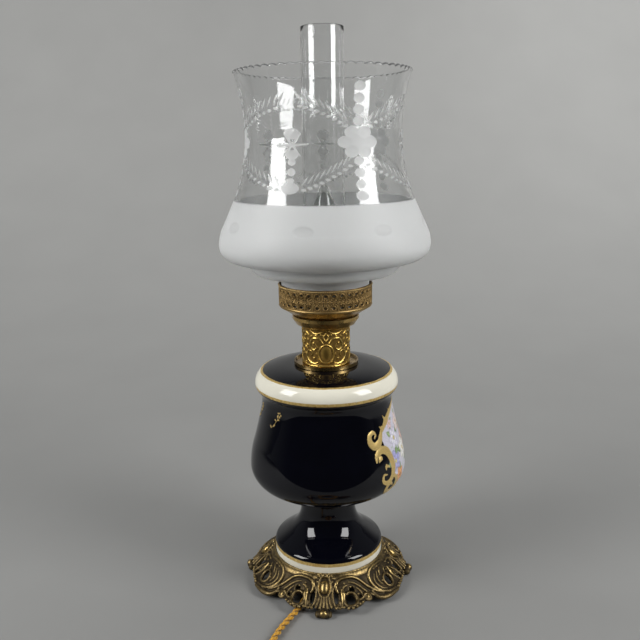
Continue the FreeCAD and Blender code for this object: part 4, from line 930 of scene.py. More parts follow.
# Stems of the leaves: two ends.
STEMS = [
    ((-38, 128), (-4, 150)), ((36, 126), (6, 148)), ((-40, 165), (-18, 160)),
    ((-42, 150), (-24, 128)), ((42, 160), (22, 140)), ((40, 186), (20, 168)),
]
# Leaves of the sprig: place from its middle, and the way they point.
SPRIG_LEAVES = [(-8, 189, 150), (-6, 191, 20), (-1, 197, 160), (0, 198, 20), (1, 200, 110)]
SPRIG_ANGLES = (108, 138, 78)
SPRIG_HALF_ANGLE, SPRIG_LOW, SPRIG_HIGH = 12, 178, 213


def paint_panel(canvas, gilt, middle):
    """A gold frame round a pale ground with a bouquet."""
    for level in np.linspace(GROUND_LEVELS[0], GROUND_LEVELS[-1], 40):
        half = np.interp(level, GROUND_LEVELS, GROUND_HALVES)
        canvas.line([(middle - half, level), (middle + half, level)], [2.2, 2.2],
                    colour=PANEL_GROUND, cover=1, lift=0.12)
    for number, ((x, y), size, *_) in enumerate(BLOSSOMS):
        for turn in (20, 145, 265):
            leaf(canvas, (middle + x, y), size * 1.5, turn + 37 * number,
                 LEAF_GREENS[(number + turn) % 3])
    for stem in STEMS:
        canvas.line([(middle + x, y) for x, y in stem], [0.5, 0.7], lift=0.2, colour=STEM_GREEN,
                    cover=1)
    for number, ((x, y), *looks) in enumerate(BLOSSOMS):
        flower(canvas, (middle + x, y), *looks, 23 * number)
    for side in (-1, 1):
        for points, widths in FRAME_STROKES:
            gold_line(canvas, gilt, [(middle + side * x, y) for x, y in points],
                      [width * FRAME_FULLNESS for width in widths])


def paint_sprig(canvas, gilt, middle):
    """A small gilt sprig: a stem with leaves and a five-dot flower."""
    gold_line(canvas, gilt, [(middle - 9, 188), (middle - 3, 194), (middle + 2, 201)],
              [0.35, 0.5, 0.35], 0.3)
    for x, y, turn in SPRIG_LEAVES:
        start, outward = np.array([middle + x, y]), spoke(turn) * 4
        gold_line(canvas, gilt, [start, start + outward * 0.5, start + outward], [0.2, 1.2, 0.2],
                  0.3)
    for angle in around(5):
        for target in (canvas, gilt):
            target.oval(spoke(angle) * 2.3 + [middle + 3, 204], 1.2, 1.2, lift=0.3, colour=GOLD,
                        cover=1)


def make_painting(name, angle, half_angle, low, high, paint):
    """A thin painted sheet on the font, cut out round what is painted."""
    font = Surface(FONT_OUTLINE)
    rows = np.arange(font.find(low, FONT_SHOULDER), font.find(high, FONT_SHOULDER), PANEL_STEP)
    width = 2 * math.radians(half_angle) * UNROLLED_RADIUS
    canvas, gilt = (Canvas(width, round(width / PANEL_STEP), font.profile(rows)[1], closed=False,
                           soft=soft) for soft in (PAINT_SOFTNESS, GILT_SOFTNESS))
    paint(canvas, gilt, width / 2)
    angles = angle + np.degrees((canvas.u - width / 2) / UNROLLED_RADIUS)
    outer = font.at(rows[:, None], angles[None], PAINT_LIFT + PAINT_RELIEF * canvas.height)
    inner = font.at(rows[:, None], angles[None], -PAINT_DEPTH)
    painted = canvas.cover > PAINTED_FROM
    keep = painted[:-1, :-1] & painted[1:, :-1] & painted[:-1, 1:] & painted[1:, 1:]
    item, used = sheet_with_holes(name, outer, inner, keep)
    colours = np.ones((len(used), 4), np.float32)
    colours[:, :3] = np.concatenate([canvas.colour.reshape(-1, 3)] * 2)[used]
    attribute = item.data.attributes.new("paint", "FLOAT_COLOR", "POINT")
    attribute.data.foreach_set("color", colours.ravel())
    set_attribute(item.data, "gilt", np.concatenate([gilt.cover.ravel()] * 2)[used])
    finish_piece(item, painted_enamel(name + "_enamel"), "lamp")


def make_paintings():
    make_painting("font_panel", PANEL_ANGLE, PANEL_HALF_ANGLE, PANEL_LOW, PANEL_HIGH,
                  paint_panel)
    for number, angle in enumerate(SPRIG_ANGLES, 1):
        make_painting(f"font_sprig_{number}", angle, SPRIG_HALF_ANGLE, SPRIG_LOW, SPRIG_HIGH,
                      paint_sprig)


# ---------------------------------------------------------------- cast base
SKIRT_ROWS, SKIRT_COLUMNS = 58, 880
SKIRT_INSET, SKIRT_LEAST_LEVEL = 0.6, 0.4
BASE_VOXEL, QUICK_BASE_VOXEL = 0.6, 0.9
SKIRT_TOP_RADIUS, SKIRT_TOP_LEVEL = 60.4, 33
SKIRT_EDGE_RADIUS = 92
SKIRT_THICKNESS = 2.2
STEM_HALF_ANGLE = 8.5
# Strokes of the ornament, drawn on one side of a foot and mirrored to the other: points as
# (angle from the foot, radius), the stroke's radius at each, and how far it stands up.
FOOT_STROKES = [
    # rim round the oval, and the flutes that fan out below it
    ([(0, 62.6), (3.4, 63.4), (5.2, 67), (4.9, 71.5), (3.0, 75.6), (1.2, 77.6)],
     [0.8, 1.0, 1.1, 1.1, 1.0, 0.7], 1.6),
    ([(0.0, 76.5), (0.0, 81), (0.0, 85.5)], [0.6, 1.1, 1.2], 1.4),
    ([(1.7, 77), (2.2, 81.5), (2.9, 86)], [0.6, 1.1, 1.2], 1.2),
    ([(3.6, 76), (4.6, 81), (5.8, 84.8)], [0.6, 1.1, 1.2], 0.9),
    ([(5.2, 77), (6.8, 80.5), (9.2, 82.6)], [0.6, 1.0, 0.9], 0.6),
    # stem beside the oval
    ([(9.0, 84), (7.6, 80.5), (6.6, 76), (6.6, 71.5), (7.6, 67.6)],
     [0.7, 1.0, 1.1, 1.1, 0.9], 1.0),
]
FRONT_STROKES = [
    # great scroll, from its curl beside the oval over the openings to the leaf
    ([(11.8, 72.4), (10.2, 70.6), (9.6, 67.6), (11.2, 65.4), (14.8, 64.3), (20, 63.8),
      (25.5, 64.1), (30, 65.3), (34, 67.9), (37.5, 71), (41, 74.2), (45, 78), (49, 81.5)],
     [1.0, 1.6, 1.8, 1.6, 1.3, 1.35, 1.4, 1.4, 1.5, 1.5, 1.4, 1.2, 0.8], 1.7),
    ([(21, 66.6), (26, 67.6), (30, 69.6), (34, 73.2), (38, 77), (42, 80.6)],
     [0.5, 0.9, 1.1, 1.2, 1.2, 0.8], 1.0),
    ([(27, 70.6), (29.5, 72.8), (31, 76)], [0.6, 1.1, 0.8], 1.2),
    # ring round the round opening
    ([(19.6, 73.4), (23.4, 75), (25.0, 79), (24.0, 83.8), (20.4, 86.6), (16.6, 85.2),
      (15.2, 81), (16, 76), (19.6, 73.4)], [1.3, 1.5, 1.6, 1.8, 1.8, 1.6, 1.5, 1.4, 1.3], 1.2),
    # bud between the openings
    ([(14.8, 70.5), (15.0, 74.5), (14.4, 78.5), (13.6, 82), (12.8, 85.6)],
     [1.6, 3.0, 2.4, 1.6, 1.2], 1.2),
    ([(14.6, 71.5), (16.8, 69.2), (19.6, 68.6)], [0.9, 1.3, 0.6], 1.5),
    ([(13.6, 78), (11.0, 80.4), (8.8, 84)], [0.8, 1.2, 0.8], 0.8),
    ([(10.8, 77.4), (12.2, 80), (12.0, 83)], [0.6, 1.0, 0.7], 0.8),
    # snail at the edge
    ([(26, 80.5), (29.4, 79.2), (33.0, 76.2), (36.2, 77.4), (36.2, 80.6), (33.4, 81.6),
      (32.0, 79.4), (33.8, 78.4)], [1.0, 1.4, 1.6, 1.7, 1.6, 1.4, 1.1, 0.9], 1.5),
]
SIDE_STROKES = [
    # great scroll, bending back along the edge of the skirt
    ([(22, 63.8), (30, 62.6), (38, 62.4), (44, 63.4), (47.4, 66), (47.8, 69.6), (46.2, 73.4),
      (43, 77.6), (39, 81.2), (34, 83.6), (29, 84.6)],
     [0.8, 1.2, 1.4, 1.5, 1.6, 1.7, 1.8, 1.7, 1.6, 1.4, 1.0], 1.7),
    ([(40.5, 66.4), (43, 69.6), (42.2, 73.6), (39.2, 77.4), (35.5, 80)],
     [0.6, 1.0, 1.1, 1.1, 0.7], 1.2),
    ([(36.5, 66), (39, 69), (38.8, 72.6), (36.8, 75.6)], [0.6, 1.0, 1.1, 0.7], 1.4),
    ([(31, 65), (34, 66.6), (35.4, 69.4)], [0.6, 1.2, 0.8], 1.6),
    # ring round the round opening
    ([(29.6, 70.4), (32.8, 71.6), (34.2, 75), (33, 78.8), (29.8, 80.6), (26.6, 79.4),
      (25.2, 75.6), (26.4, 71.8), (29.6, 70.4)], [1.2, 1.4, 1.5, 1.5, 1.5, 1.4, 1.4, 1.2, 1.2],
     1.3),
    # bud and leaves
    ([(21.6, 68), (22, 72.4), (21, 77), (19.6, 81), (18.8, 84)], [1.5, 2.6, 2.0, 1.5, 1.1], 1.2),
    ([(11.0, 72), (10, 69.4), (11.4, 66.6), (15, 65.4), (19.6, 66)], [0.9, 1.5, 1.6, 1.4, 0.8],
     1.6),
    ([(14.2, 84), (13.4, 79.6), (14.2, 75), (16.6, 71.4)], [0.9, 1.4, 1.5, 0.8], 1.1),
    ([(25.6, 66.2), (27.4, 67.8), (28, 70)], [0.6, 1.3, 0.7], 1.6),
]
# The smooth lip between two feet: points as (angle from the front foot, radius).
LIP_STROKE = ([(40.2, 75), (42.2, 81), (46, 84.6), (51, 86.2), (56.5, 86.6), (61.5, 87.2)],
              [1.2, 1.9, 2.4, 2.4, 2.1, 1.4], 0.5)
# Curled lobes and beads: (angle from the foot, radius, size, height over the skirt).
FOOT_KNOBS = [
    (2.2, 61.9, 1.1, 2.2), (5.4, 62.4, 1.2, 2.0), (8.2, 63.4, 1.1, 1.8), (6.8, 65.6, 0.9, 2.0),
    (8.6, 83.4, 1.6, 0.4), (11.4, 84.0, 1.6, 0.4), (9.6, 80.6, 1.0, 1.0), (3.8, 61, 0.8, 2.6),
]
FRONT_KNOBS = [
    (14.0, 85.6, 1.6, 0.6), (16.8, 88.0, 1.7, 0.4), (19.8, 88.6, 1.7, 0.4), (22.8, 87.4, 1.7, 0.4),
    (25.6, 84.8, 1.6, 0.6), (34.2, 78.6, 2.9, 0.6), (14.8, 74.2, 2.9, 1.4), (28.4, 82.6, 1.5, 0.8),
    (10.4, 66.6, 2.0, 2.0), (22.4, 70, 1.0, 1.4), (27.4, 75.4, 1.2, 1.2), (17.4, 67.2, 1.0, 1.6),
]
SIDE_KNOBS = [
    (14.4, 84, 1.6, 0.6), (17.4, 84.4, 1.7, 0.6), (20.4, 84.8, 1.8, 0.6), (23.4, 85, 1.8, 0.6),
    (26.2, 85.8, 1.9, 0.6), (21.8, 72, 2.6, 1.4), (15.6, 68.4, 1.0, 2.0), (35.4, 73, 1.1, 1.4),
    (24.4, 69.4, 1.0, 1.6), (33.4, 64, 1.1, 1.8), (18.2, 77.4, 1.1, 1.2), (38.6, 64.2, 1.0, 1.8),
]
# Openings: (angle from the foot, radius, half-width round, half-width outward).
FOOT_OPENINGS = [(9.6, 74.4, 2.6, 5.2)]
FRONT_OPENINGS = [(20, 79.4, 5.0, 5.4), (23.2, 71.4, 3.2, 2.5), (28.8, 77.0, 1.8, 1.5)]
SIDE_OPENINGS = [(29.8, 75.2, 4.5, 4.5), (18.2, 72.6, 2.2, 3.6), (15.8, 80.6, 1.6, 2.2),
                 (25.0, 68.4, 1.5, 1.3)]
# The edge of the skirt, by the angle from a front foot to a side foot.
EDGE_ANGLES = [0, 5.5, 8, 10, 14, 17.5, 21, 24.5, 28, 31, 33, 36, 38, 39, 40.4, 42, 45, 50, 56,
               60, 62.4, 64, 67, 72, 78, 82, 84.5, 90]
EDGE_RADII = [88, 83.5, 82, 83.4, 85, 87.6, 88.6, 86.6, 83.6, 81, 80.8, 80.8, 78, 73.4, 74.5, 80,
              83.6, 85.6, 86.4, 87.2, 87.8, 85, 85, 84.4, 83.4, 81.8, 83.5, 88]
RIM_ANGLES = [0, 11, 15, 24, 28, 36, 45, 60, 66, 90]
RIM_LEVELS = [5.4, 5.8, 9.3, 9.3, 7.0, 4.9, 4.6, 4.8, 5.6, 5.6]
STEM_RADII = [60, 64, 70, 76, 82, 86, 90, 92]
STEM_LEVELS = [33, 28.6, 22.4, 17.2, 12.2, 8.6, 4.8, 3.0]
# The base's seat for the porcelain foot, as an outline.
SEAT_OUTLINE = [
    (44, 27), (57, 27), (61, 24.6), (63, 25.5), (64.3, 27.6), (61.8, 30.4), (60.9, 33.2),
    (59.3, 33.2), (59.2, 31), (44, 31),
]
OVAL_RADIUS, OVAL_LEVEL = 70.2, 23.6
# Balls of each foot: angle from the foot, radius, level, half-sizes, tilt.
FOOT_BALLS = [
    (0, OVAL_RADIUS, OVAL_LEVEL, (4.4, 7.2, 3.2), 40), (0, 86.8, 4.2, (7.0, 5.4, 4.1), 0),
    (0, 88.9, 5.2, (4.6, 3.9, 4.3), 0),
    (-3.9, 86.6, 3.4, (3.0, 4.2, 3.3), 0), (-2.6, 84.6, 6.6, (1.8, 2.4, 2.0), 0),
    (3.9, 86.6, 3.4, (3.0, 4.2, 3.3), 0), (2.6, 84.6, 6.6, (1.8, 2.4, 2.0), 0),
]
BALL_RINGS, BALL_SIDES = 9, 14
# Wear of the base's brass: of the skirt itself, the height over it that is worn bright, then
# the seat's radius, level and wear, and the radius and wear of the oval on each foot.
SKIRT_WEAR, WORN_HEIGHT = 0.10, 4.2
SEAT_RADIUS, SEAT_LEVEL, SEAT_WEAR = 64.6, 26.5, 0.78
OVAL_REACH, OVAL_WEAR = 6.6, 0.95


def from_front(angle):
    """The angle from the nearer front or back foot, from 0 to 90."""
    return np.abs((np.asarray(angle) + 90) % 180 - 90)


def skirt_level(angle, radius):
    """Level of the skirt's upper face, arched over the flex beside the front foot."""
    turn = from_front(angle)
    rim = np.interp(turn, RIM_ANGLES, RIM_LEVELS)
    share = np.clip((SKIRT_EDGE_RADIUS - radius) / (SKIRT_EDGE_RADIUS - SKIRT_TOP_RADIUS), 0, 1)
    level = rim + (SKIRT_TOP_LEVEL - rim) * share**2
    foot = np.clip(1 - (np.minimum(turn, 90 - turn) / STEM_HALF_ANGLE) ** 2, 0, 1)
    return level + foot * (np.interp(radius, STEM_RADII, STEM_LEVELS) - level)


def scroll(shells, points, radii, lift, side, foot):
    """One tapering stroke laid on the skirt."""
    path = smooth_path(points, 7)
    radii = spread(radii, len(path))
    angle, radius = foot + side * path[:, 0], path[:, 1]
    level = np.maximum(skirt_level(angle, radius) + lift * 0.5, radii + 0.1)
    shells.put(*tube(polar(radius, angle, level), radii))


def ball(shells, angle, radius, level, half_sizes, tilt=0):
    """An ellipsoid with half-sizes round, outward and up, tilted down outward."""
    theta = np.linspace(0.06, math.pi - 0.06, BALL_RINGS)[:, None]
    phi = np.arange(BALL_SIDES) * TURN / BALL_SIDES
    unit = np.stack(np.broadcast_arrays(np.sin(theta) * np.cos(phi), np.sin(theta) * np.sin(phi),
                                        np.cos(theta)), -1).reshape(-1, 3)
    across, out, up = (unit * half_sizes).T
    cos, sin = spoke(tilt)
    outward, upward = out * cos + up * sin, up * cos - out * sin
    cos, sin = spoke(angle)
    centre = polar(radius, angle, level)
    places = [centre[0] + outward * cos - across * sin, centre[1] + outward * sin + across * cos,
              centre[2] + upward]
    shells.put(np.stack(places, -1), capped_faces(BALL_RINGS, BALL_SIDES))


def sides_of_feet():
    """Each foot's angle with, for each of its two sides, what is drawn there."""
    front = (FRONT_STROKES, FRONT_KNOBS, FRONT_OPENINGS)
    beside = (SIDE_STROKES, SIDE_KNOBS, SIDE_OPENINGS)
    for foot in range(0, 360, 90):
        strokes, knobs, openings = beside if foot % 180 else front
        for side in (1, -1):
            yield (foot, side, FOOT_STROKES + strokes, FOOT_KNOBS + knobs,
                   FOOT_OPENINGS + openings)


def make_skirt():
    """The pierced sheet of the base, which the ornament is laid on."""
    angles = around(SKIRT_COLUMNS)[None]
    radii = np.linspace(SKIRT_TOP_RADIUS, SKIRT_EDGE_RADIUS, SKIRT_ROWS)[:, None]
    level = skirt_level(angles, radii)
    outer = polar(radii, angles, level)
    thick = np.minimum(SKIRT_THICKNESS, level - SKIRT_LEAST_LEVEL)
    inner = polar(radii - SKIRT_INSET, angles, level - thick)
    angles, radii = angles + 180 / SKIRT_COLUMNS, (radii[1:] + radii[:-1]) / 2
    keep = radii < np.interp(from_front(angles), EDGE_ANGLES, EDGE_RADII)
    for foot, side, _, _, openings in sides_of_feet():
        for angle, radius, across, outward in openings:
            away = (angles - foot - side * angle + 180) % 360 - 180
            keep &= np.hypot(np.radians(away) * radii / across, (radii - radius) / outward) > 1
    return sheet_with_holes("base_scrolled", outer, inner, keep)[0]


def base_relief(places):
    """How bright the base's brass is worn at each place, from 0 to 1."""
    radius = np.hypot(places[:, 0], places[:, 1])
    angle = np.degrees(np.arctan2(places[:, 1], places[:, 0]))
    stand = places[:, 2] - skirt_level(angle, np.minimum(radius, SKIRT_EDGE_RADIUS))
    on_seat = np.clip((SEAT_RADIUS - radius) / 1.2, 0, 1) * (places[:, 2] > SEAT_LEVEL)
    oval = polar(OVAL_RADIUS, np.round(angle / 90) * 90, OVAL_LEVEL)
    on_oval = np.linalg.norm(places - oval, axis=-1) < OVAL_REACH
    return np.maximum.reduce([np.clip(SKIRT_WEAR + stand / WORN_HEIGHT, 0, 1),
                              on_seat * SEAT_WEAR, on_oval * OVAL_WEAR])


def make_base():
    """The pierced and scrolled casting."""
    skirt = make_skirt()
    shells = Shells()
    for foot, side, strokes, knobs, _ in sides_of_feet():
        for stroke in strokes:
            scroll(shells, *stroke, side, foot)
        if foot % 180 == 0:
            scroll(shells, *LIP_STROKE, side, foot)
        for angle, radius, size, lift in knobs:
            turn = foot + side * angle
            level = float(skirt_level(turn, radius)) + lift * 0.5
            ball(shells, turn, radius, max(level, size), [size] * 3)
    for foot in range(0, 360, 90):
        for angle, *rest in FOOT_BALLS:
            ball(shells, foot + angle, *rest)
    seat = spun(dense_outline(SEAT_OUTLINE), 240)
    shells.put(seat.reshape(-1, 3), ring_quads(*seat.shape[:2]))
    join(skirt, shells.make("base_strokes"))
    fuse(skirt, BASE_VOXEL)
    set_attribute(skirt.data, "relief", base_relief(vertex_places(skirt.data)))
    material = antique_brass("antique_base", (0.022, 0.016, 0.009), (0.145, 0.105, 0.052),
                             (0.60, 0.43, 0.17), 0.34)
    wear_ridges_shade_creases(material)
    finish_piece(skirt, material, "lamp", ["base_casting"])


def wear_ridges_shade_creases(material):
    """Brightens worn ridges of a fine mesh; darkens creases, as patina and painted shade; mottles
    it.
    """
    tree = material.node_tree
    sharp = add(tree, "NewGeometry", out=7)
    colour = tree.nodes["Principled BSDF"].inputs["Base Color"].links[0].from_socket
    grain = noise(tree, 1.3, 4, 0.7)
    # Worn ridges brighter; creases nearly black, part patina and part painted shade; a dark mottle.
    for factor, tint in ((ramp(tree, sharp, 0.505, 0.58, 0, 0.75), (0.74, 0.54, 0.22)),
                         (ramp(tree, sharp, 0.46, 0.495, 0.92, 0), (0.020, 0.014, 0.008)),
                         (ramp(tree, grain, 0.42, 0.62, 0.62, 0), (0.030, 0.022, 0.012))):
        colour = mix(tree, factor, colour, tint)
    set_sockets(material, Base_Color=colour)


# ---------------------------------------------------------------- brasswork
DRUM_RADIUS, DRUM_LOW, DRUM_HIGH = 24.2, 245.4, 285.5
DRUM_COLUMNS, DRUM_STEP, DRUM_DEPTH = 400, 0.4, 0.95
DRUM_WALL = 1.0
DRUM_RIM_LEVELS = (0.9, 39.3)
# Strokes and leaves are drawn on one quarter of the drum, this wide, and mirrored.
DRUM_QUARTER = 38.6
CURL = [0.5, 0.9, 1.1, 1.1, 1.0, 0.9, 0.8, 0.6]
DRUM_STROKES = [
    ([(0, 4), (4.8, 5.6), (7.6, 10), (7.4, 16), (4.6, 21.4), (0, 23.6)], [0.8] * 6),
    ([(3, 25), (7, 29.5), (13, 30), (17, 26), (17, 20.5), (13, 18), (9.8, 20.4), (11.2, 23.6)],
     CURL),
    ([(8.5, 5), (12, 3.6), (18, 5), (22, 9.6), (21.4, 15), (17, 16.6), (14.6, 13.6), (16.6, 11)],
     [0.5, 0.9, 1.1, 1.2, 1.0, 0.9, 0.8, 0.6]),
    ([(19, 33), (24, 35.6), (30, 34), (33.4, 29), (31.4, 24), (27, 23.6), (26, 27.2), (28.6, 28.6)],
     CURL),
    ([(24, 4), (30, 2.8), (35.4, 6), (37, 12), (33.4, 17), (28.6, 16), (28, 11.8), (31, 10.6)],
     CURL),
    ([(0, 38.4), (6, 35.6), (12, 35), (18, 37.6)], [0.4, 0.8, 0.9, 0.4]),
    ([(22, 18), (25, 20.6), (30, 20.4), (35, 22.6), (38.6, 27)], [0.4, 0.8, 0.8, 0.8, 0.5]),
    ([(0, 27), (2.6, 31.4), (0, 35.4)], [0.4, 0.9, 0.4]),
    ([(38.6, 30), (36.4, 34.4), (38.6, 38.6)], [0.4, 0.9, 0.4]),
]
DRUM_LEAVES = [
    (4.4, 33.4, 2.3, 0.9, 25), (10.4, 33, 2.2, 0.9, -20), (16.4, 31.4, 2.2, 0.9, -50),
    (20.6, 27.6, 2.3, 0.9, 70), (21.6, 22.4, 2.2, 1.0, 35), (25.4, 31.6, 1.5, 1.5, 0),
    (12.6, 8.8, 1.6, 1.6, 0), (24.4, 12.8, 2.2, 0.9, 60), (33.6, 20.4, 2.2, 0.9, -30),
    (36.4, 25, 2.0, 0.9, 60), (33, 36.6, 2.1, 0.9, 10), (26, 1.9, 2.0, 0.8, 0),
    (13.2, 24.8, 1.3, 1.3, 0), (31.8, 13.8, 1.4, 1.4, 0), (38.6, 21.6, 1.6, 1.6, 0),
    (9.6, 13.6, 1.8, 0.8, 80), (8.8, 1.8, 1.8, 0.7, 0), (16.4, 1.8, 1.8, 0.7, 0),
]


def draw_drum(canvas, width):
    scale = width / 4 / DRUM_QUARTER
    for centre in (0, width / 2):
        for side in (1, -1):
            for points, widths in DRUM_STROKES:
                canvas.line([(centre + side * x * scale, y) for x, y in points], widths,
                            lift=1.0, rounding=0.9)
            for x, y, length, across, turn in DRUM_LEAVES:
                canvas.oval((centre + side * x * scale, y), length, across,
                            turn if side > 0 else 180 - turn, lift=0.9, rounding=0.8)
        canvas.oval((centre, 13.6), 8.4, 5.7, 90, lift=0.55, rounding=4.5)
    for level in DRUM_RIM_LEVELS:
        for start in (0, width / 2):
            canvas.line([(start, level), (start + width / 2, level)], [0.8, 0.8], lift=0.9,
                        rounding=0.8)


def make_drum():
    """The embossed drum between the collar and the dish."""
    rows = np.arange(0, DRUM_HIGH - DRUM_LOW + 1e-6, DRUM_STEP)
    width = TURN * DRUM_RADIUS
    canvas = Canvas(width, DRUM_COLUMNS, rows, soft=0.35)
    draw_drum(canvas, width)
    angles = VIEW_ANGLE + canvas.u[None] / width * 360
    outer = polar(DRUM_RADIUS + DRUM_DEPTH * canvas.height, angles, DRUM_LOW + rows[:, None])
    inner = polar(DRUM_RADIUS - DRUM_WALL, angles, DRUM_LOW + rows[::-2][:, None])
    item = grid_object("drum_embossed", np.concatenate([outer, inner]))
    relief = np.zeros(len(item.data.vertices))
    relief[:canvas.height.size] = canvas.height.ravel()
    set_attribute(item.data, "relief", relief)
    material = antique_brass("drum_brass", (0.17, 0.100, 0.022), (0.44, 0.285, 0.070),
                             (0.80, 0.58, 0.18), 0.26, grain=0.6)
    finish_piece(item, material, "lamp", ["embossed_drum"])


BAND_RADIUS, BAND_LOW, BAND_HIGH = 46.5, 306.2, 329.3
BAND_UNITS = 36
BAND_COLUMNS, BAND_STEP = 900, 0.34
BAND_PROUD, BAND_DEPTH, BAND_WALL = 0.5, 0.75, 0.35
BAND_SOLID_FROM = 0.35
# One unit of the filigree is drawn this wide, from its middle out, and mirrored.
BAND_UNIT = 9.8
BAND_STROKES = [
    ([(0, 3.4), (2.2, 4.2), (3.6, 6.6), (3, 9), (1.2, 9.2), (0.9, 7.4), (1.9, 6.8)], 0.62),
    ([(0, 19.4), (2.0, 18.6), (3.6, 16.4), (3.2, 13.8), (1.4, 13.4), (0.9, 15.2), (1.9, 16)], 0.62),
    ([(0.2, 10), (1.9, 11.3), (0.2, 12.6)], 0.6),
    ([(4.9, 3.6), (4.3, 5.6), (4.9, 7.8), (4.4, 10), (3.0, 11.3)], 0.6),
    ([(4.9, 19.2), (4.3, 17.2), (4.9, 15), (4.4, 12.6), (3.0, 11.3)], 0.6),
]
# Beads of each unit: share of a unit along, level, half-width and half-height.
BAND_BEADS = [(0, 11.3, 0.9, 0.9), (0.5, 11.3, 0.7, 1.1), (0.5, 3.6, 0.9, 0.7),
              (0.5, 19.2, 0.9, 0.7)]
# Rings round the band: level, half-width, lift.
BAND_RINGS = [(1.2, 1.3, 1.35), (3.0, 0.45, 0.8), (19.9, 0.45, 0.8), (21.6, 1.4, 1.5)]


def draw_band(canvas, width):
    unit = width / BAND_UNITS
    for number in range(BAND_UNITS):
        centre = number * unit
        for side in (1, -1):
            for points, half_width in BAND_STROKES:
                canvas.line([(centre + side * x * unit / BAND_UNIT, y) for x, y in points],
                            [half_width] * 2, lift=1.0, rounding=0.5, cover=1)
        for share, level, across, up in BAND_BEADS:
            canvas.oval((centre + unit * share, level), across, up, lift=1.0, rounding=0.6,
                        cover=1)
    for level, half_width, lift in BAND_RINGS:
        for part in range(4):
            start = width * part / 4
            canvas.line([(start, level), (start + width / 4, level)], [half_width] * 2,
                        lift=lift, rounding=half_width, cover=1)
    for number in range(BAND_UNITS * 5):
        canvas.oval((number * unit / 5, 21.6), 0.75, 1.35, 15, lift=1.9, rounding=0.7)


def make_band():
    """The pierced filigree band that grips the shade's foot."""
    width = TURN * BAND_RADIUS
    rows = np.arange(0, BAND_HIGH - BAND_LOW + 1e-6, BAND_STEP)
    canvas = Canvas(width, BAND_COLUMNS, rows, soft=0.3)
    draw_band(canvas, width)
    angles = VIEW_ANGLE + canvas.u[None] / width * 360
    levels = BAND_LOW + rows[:, None]
    outer = polar(BAND_RADIUS + BAND_PROUD + BAND_DEPTH * canvas.height, angles, levels)
    inner = polar(BAND_RADIUS - BAND_WALL, angles, levels)
    solid = canvas.cover > BAND_SOLID_FROM
    keep = solid[:-1] | solid[1:]
    item, used = sheet_with_holes("gallery_filigree", outer, inner, keep | np.roll(keep, -1, 1))
    relief = np.concatenate([canvas.height.ravel() * 0.62, np.zeros(canvas.height.size)])[used]
    set_attribute(item.data, "relief", relief)
    material = antique_brass("filigree_brass", (0.09, 0.055, 0.020), (0.31, 0.205, 0.080),
                             (0.60, 0.43, 0.19), 0.38)
    finish_piece(item, material, "lamp", ["gallery_band"])


# ---------------------------------------------------------------- glass
SHADE_OUTLINE = [
    (44.9, 307), (44.9, 332, -6), (50, 337.3), (66, 339.8, 10), (75.8, 348.6), (75.8, 351.8),
    (91, 354.6, 15.5), (105.8, 369, 42), (101, 388), (89.5, 413, -165), (76.5, 478, -177),
    (85.7, 534.4),
]
SHADE_WALL = 2.5
SHADE_COLUMNS = 720
SCALLOPS = 60
SCALLOP_DEPTH = 1.5
SHADE_RADIUS = 78
FROST_LEVEL = 413
INNER_FROST, RIM_FROST = 0.6, 0.3
RIM_EASE, RIM_ROWS_FROM, RIM_CROWN, RIM_FALL = 5, 7, 0.45, 0.35
BELLY_LEVEL = 360
CUT_STEP, QUICK_CUT_STEP, PLAIN_STEP = 0.75, 1.4, 2.0
FLOWER_ANGLES = (23.7, -78, 130.5)
STAR_ANGLES = (-21.2, 79, -129.5, 180.5)
LENS_LEVEL = 391.5
LENS_ANGLES = [-11.0] + [31.7 + 45 * number for number in range(7)]
# One degree round the shade, on the unrolled surface that it is engraved on.
SHADE_DEGREE = math.radians(1) * SHADE_RADIUS
# Cut ovals of a flower chain and a star chain: level, half-width, half-height.
FLOWER_OVALS = [(515, 5.3, 4.2), (505, 5.3, 4.2), (495.6, 5.3, 4.2), (486, 5.3, 4.2)]
# Drops under the flower: level, half-width.
FLOWER_DROPS = [(451.5, 4.7), (441.3, 4.9), (431.3, 4.6), (421.6, 5.4)]
STAR_OVALS = [(475.5, 7.4, 5.0), (457.5, 6.4, 4.4), (451.0, 3.9, 3.2), (442.6, 4.0, 3.8),
              (428.6, 8.2, 5.4), (435.0, 3.4, 2.8)]
FLOWER_LEVEL, STAR_LEVEL = 468, 466
# Rays of the star: angle, reach.
STAR_RAYS = [(2, 15.5), (50, 12.5), (-50, 12.5)]
# Garlands, by the level at which each kind of chain holds them, and how far they sag.
GARLANDS = [({"star": 503, "flower": 484}, -2.5), ({"star": 430, "flower": 453}, 2.0)]


def garland(canvas, start, end, sag, place):
    """A hanging twig with slender leaves above it and round ones below."""
    share = np.linspace(0.05, 0.95, 9)
    u = start[0] + (end[0] - start[0]) * share
    levels = start[1] + (end[1] - start[1]) * share - sag * 4 * share * (1 - share)
    points = [np.array([x, place(level)]) for x, level in zip(u, levels)]
    canvas.line(points, [0.2, 0.2], cover=0.5)
    slope = 1 if end[1] > start[1] else -1
    lean = spoke(90 - 32 * slope)
    for point in points:
        canvas.line([point, point + lean * 5, point + lean * 10], [0.2, 0.85, 0.2],
                    cover=0.8, lift=-0.25)
        canvas.oval(point + [slope * 1.8, -3.9], 2.3, 1.25, -12 * slope, cover=0.9, lift=-0.3)


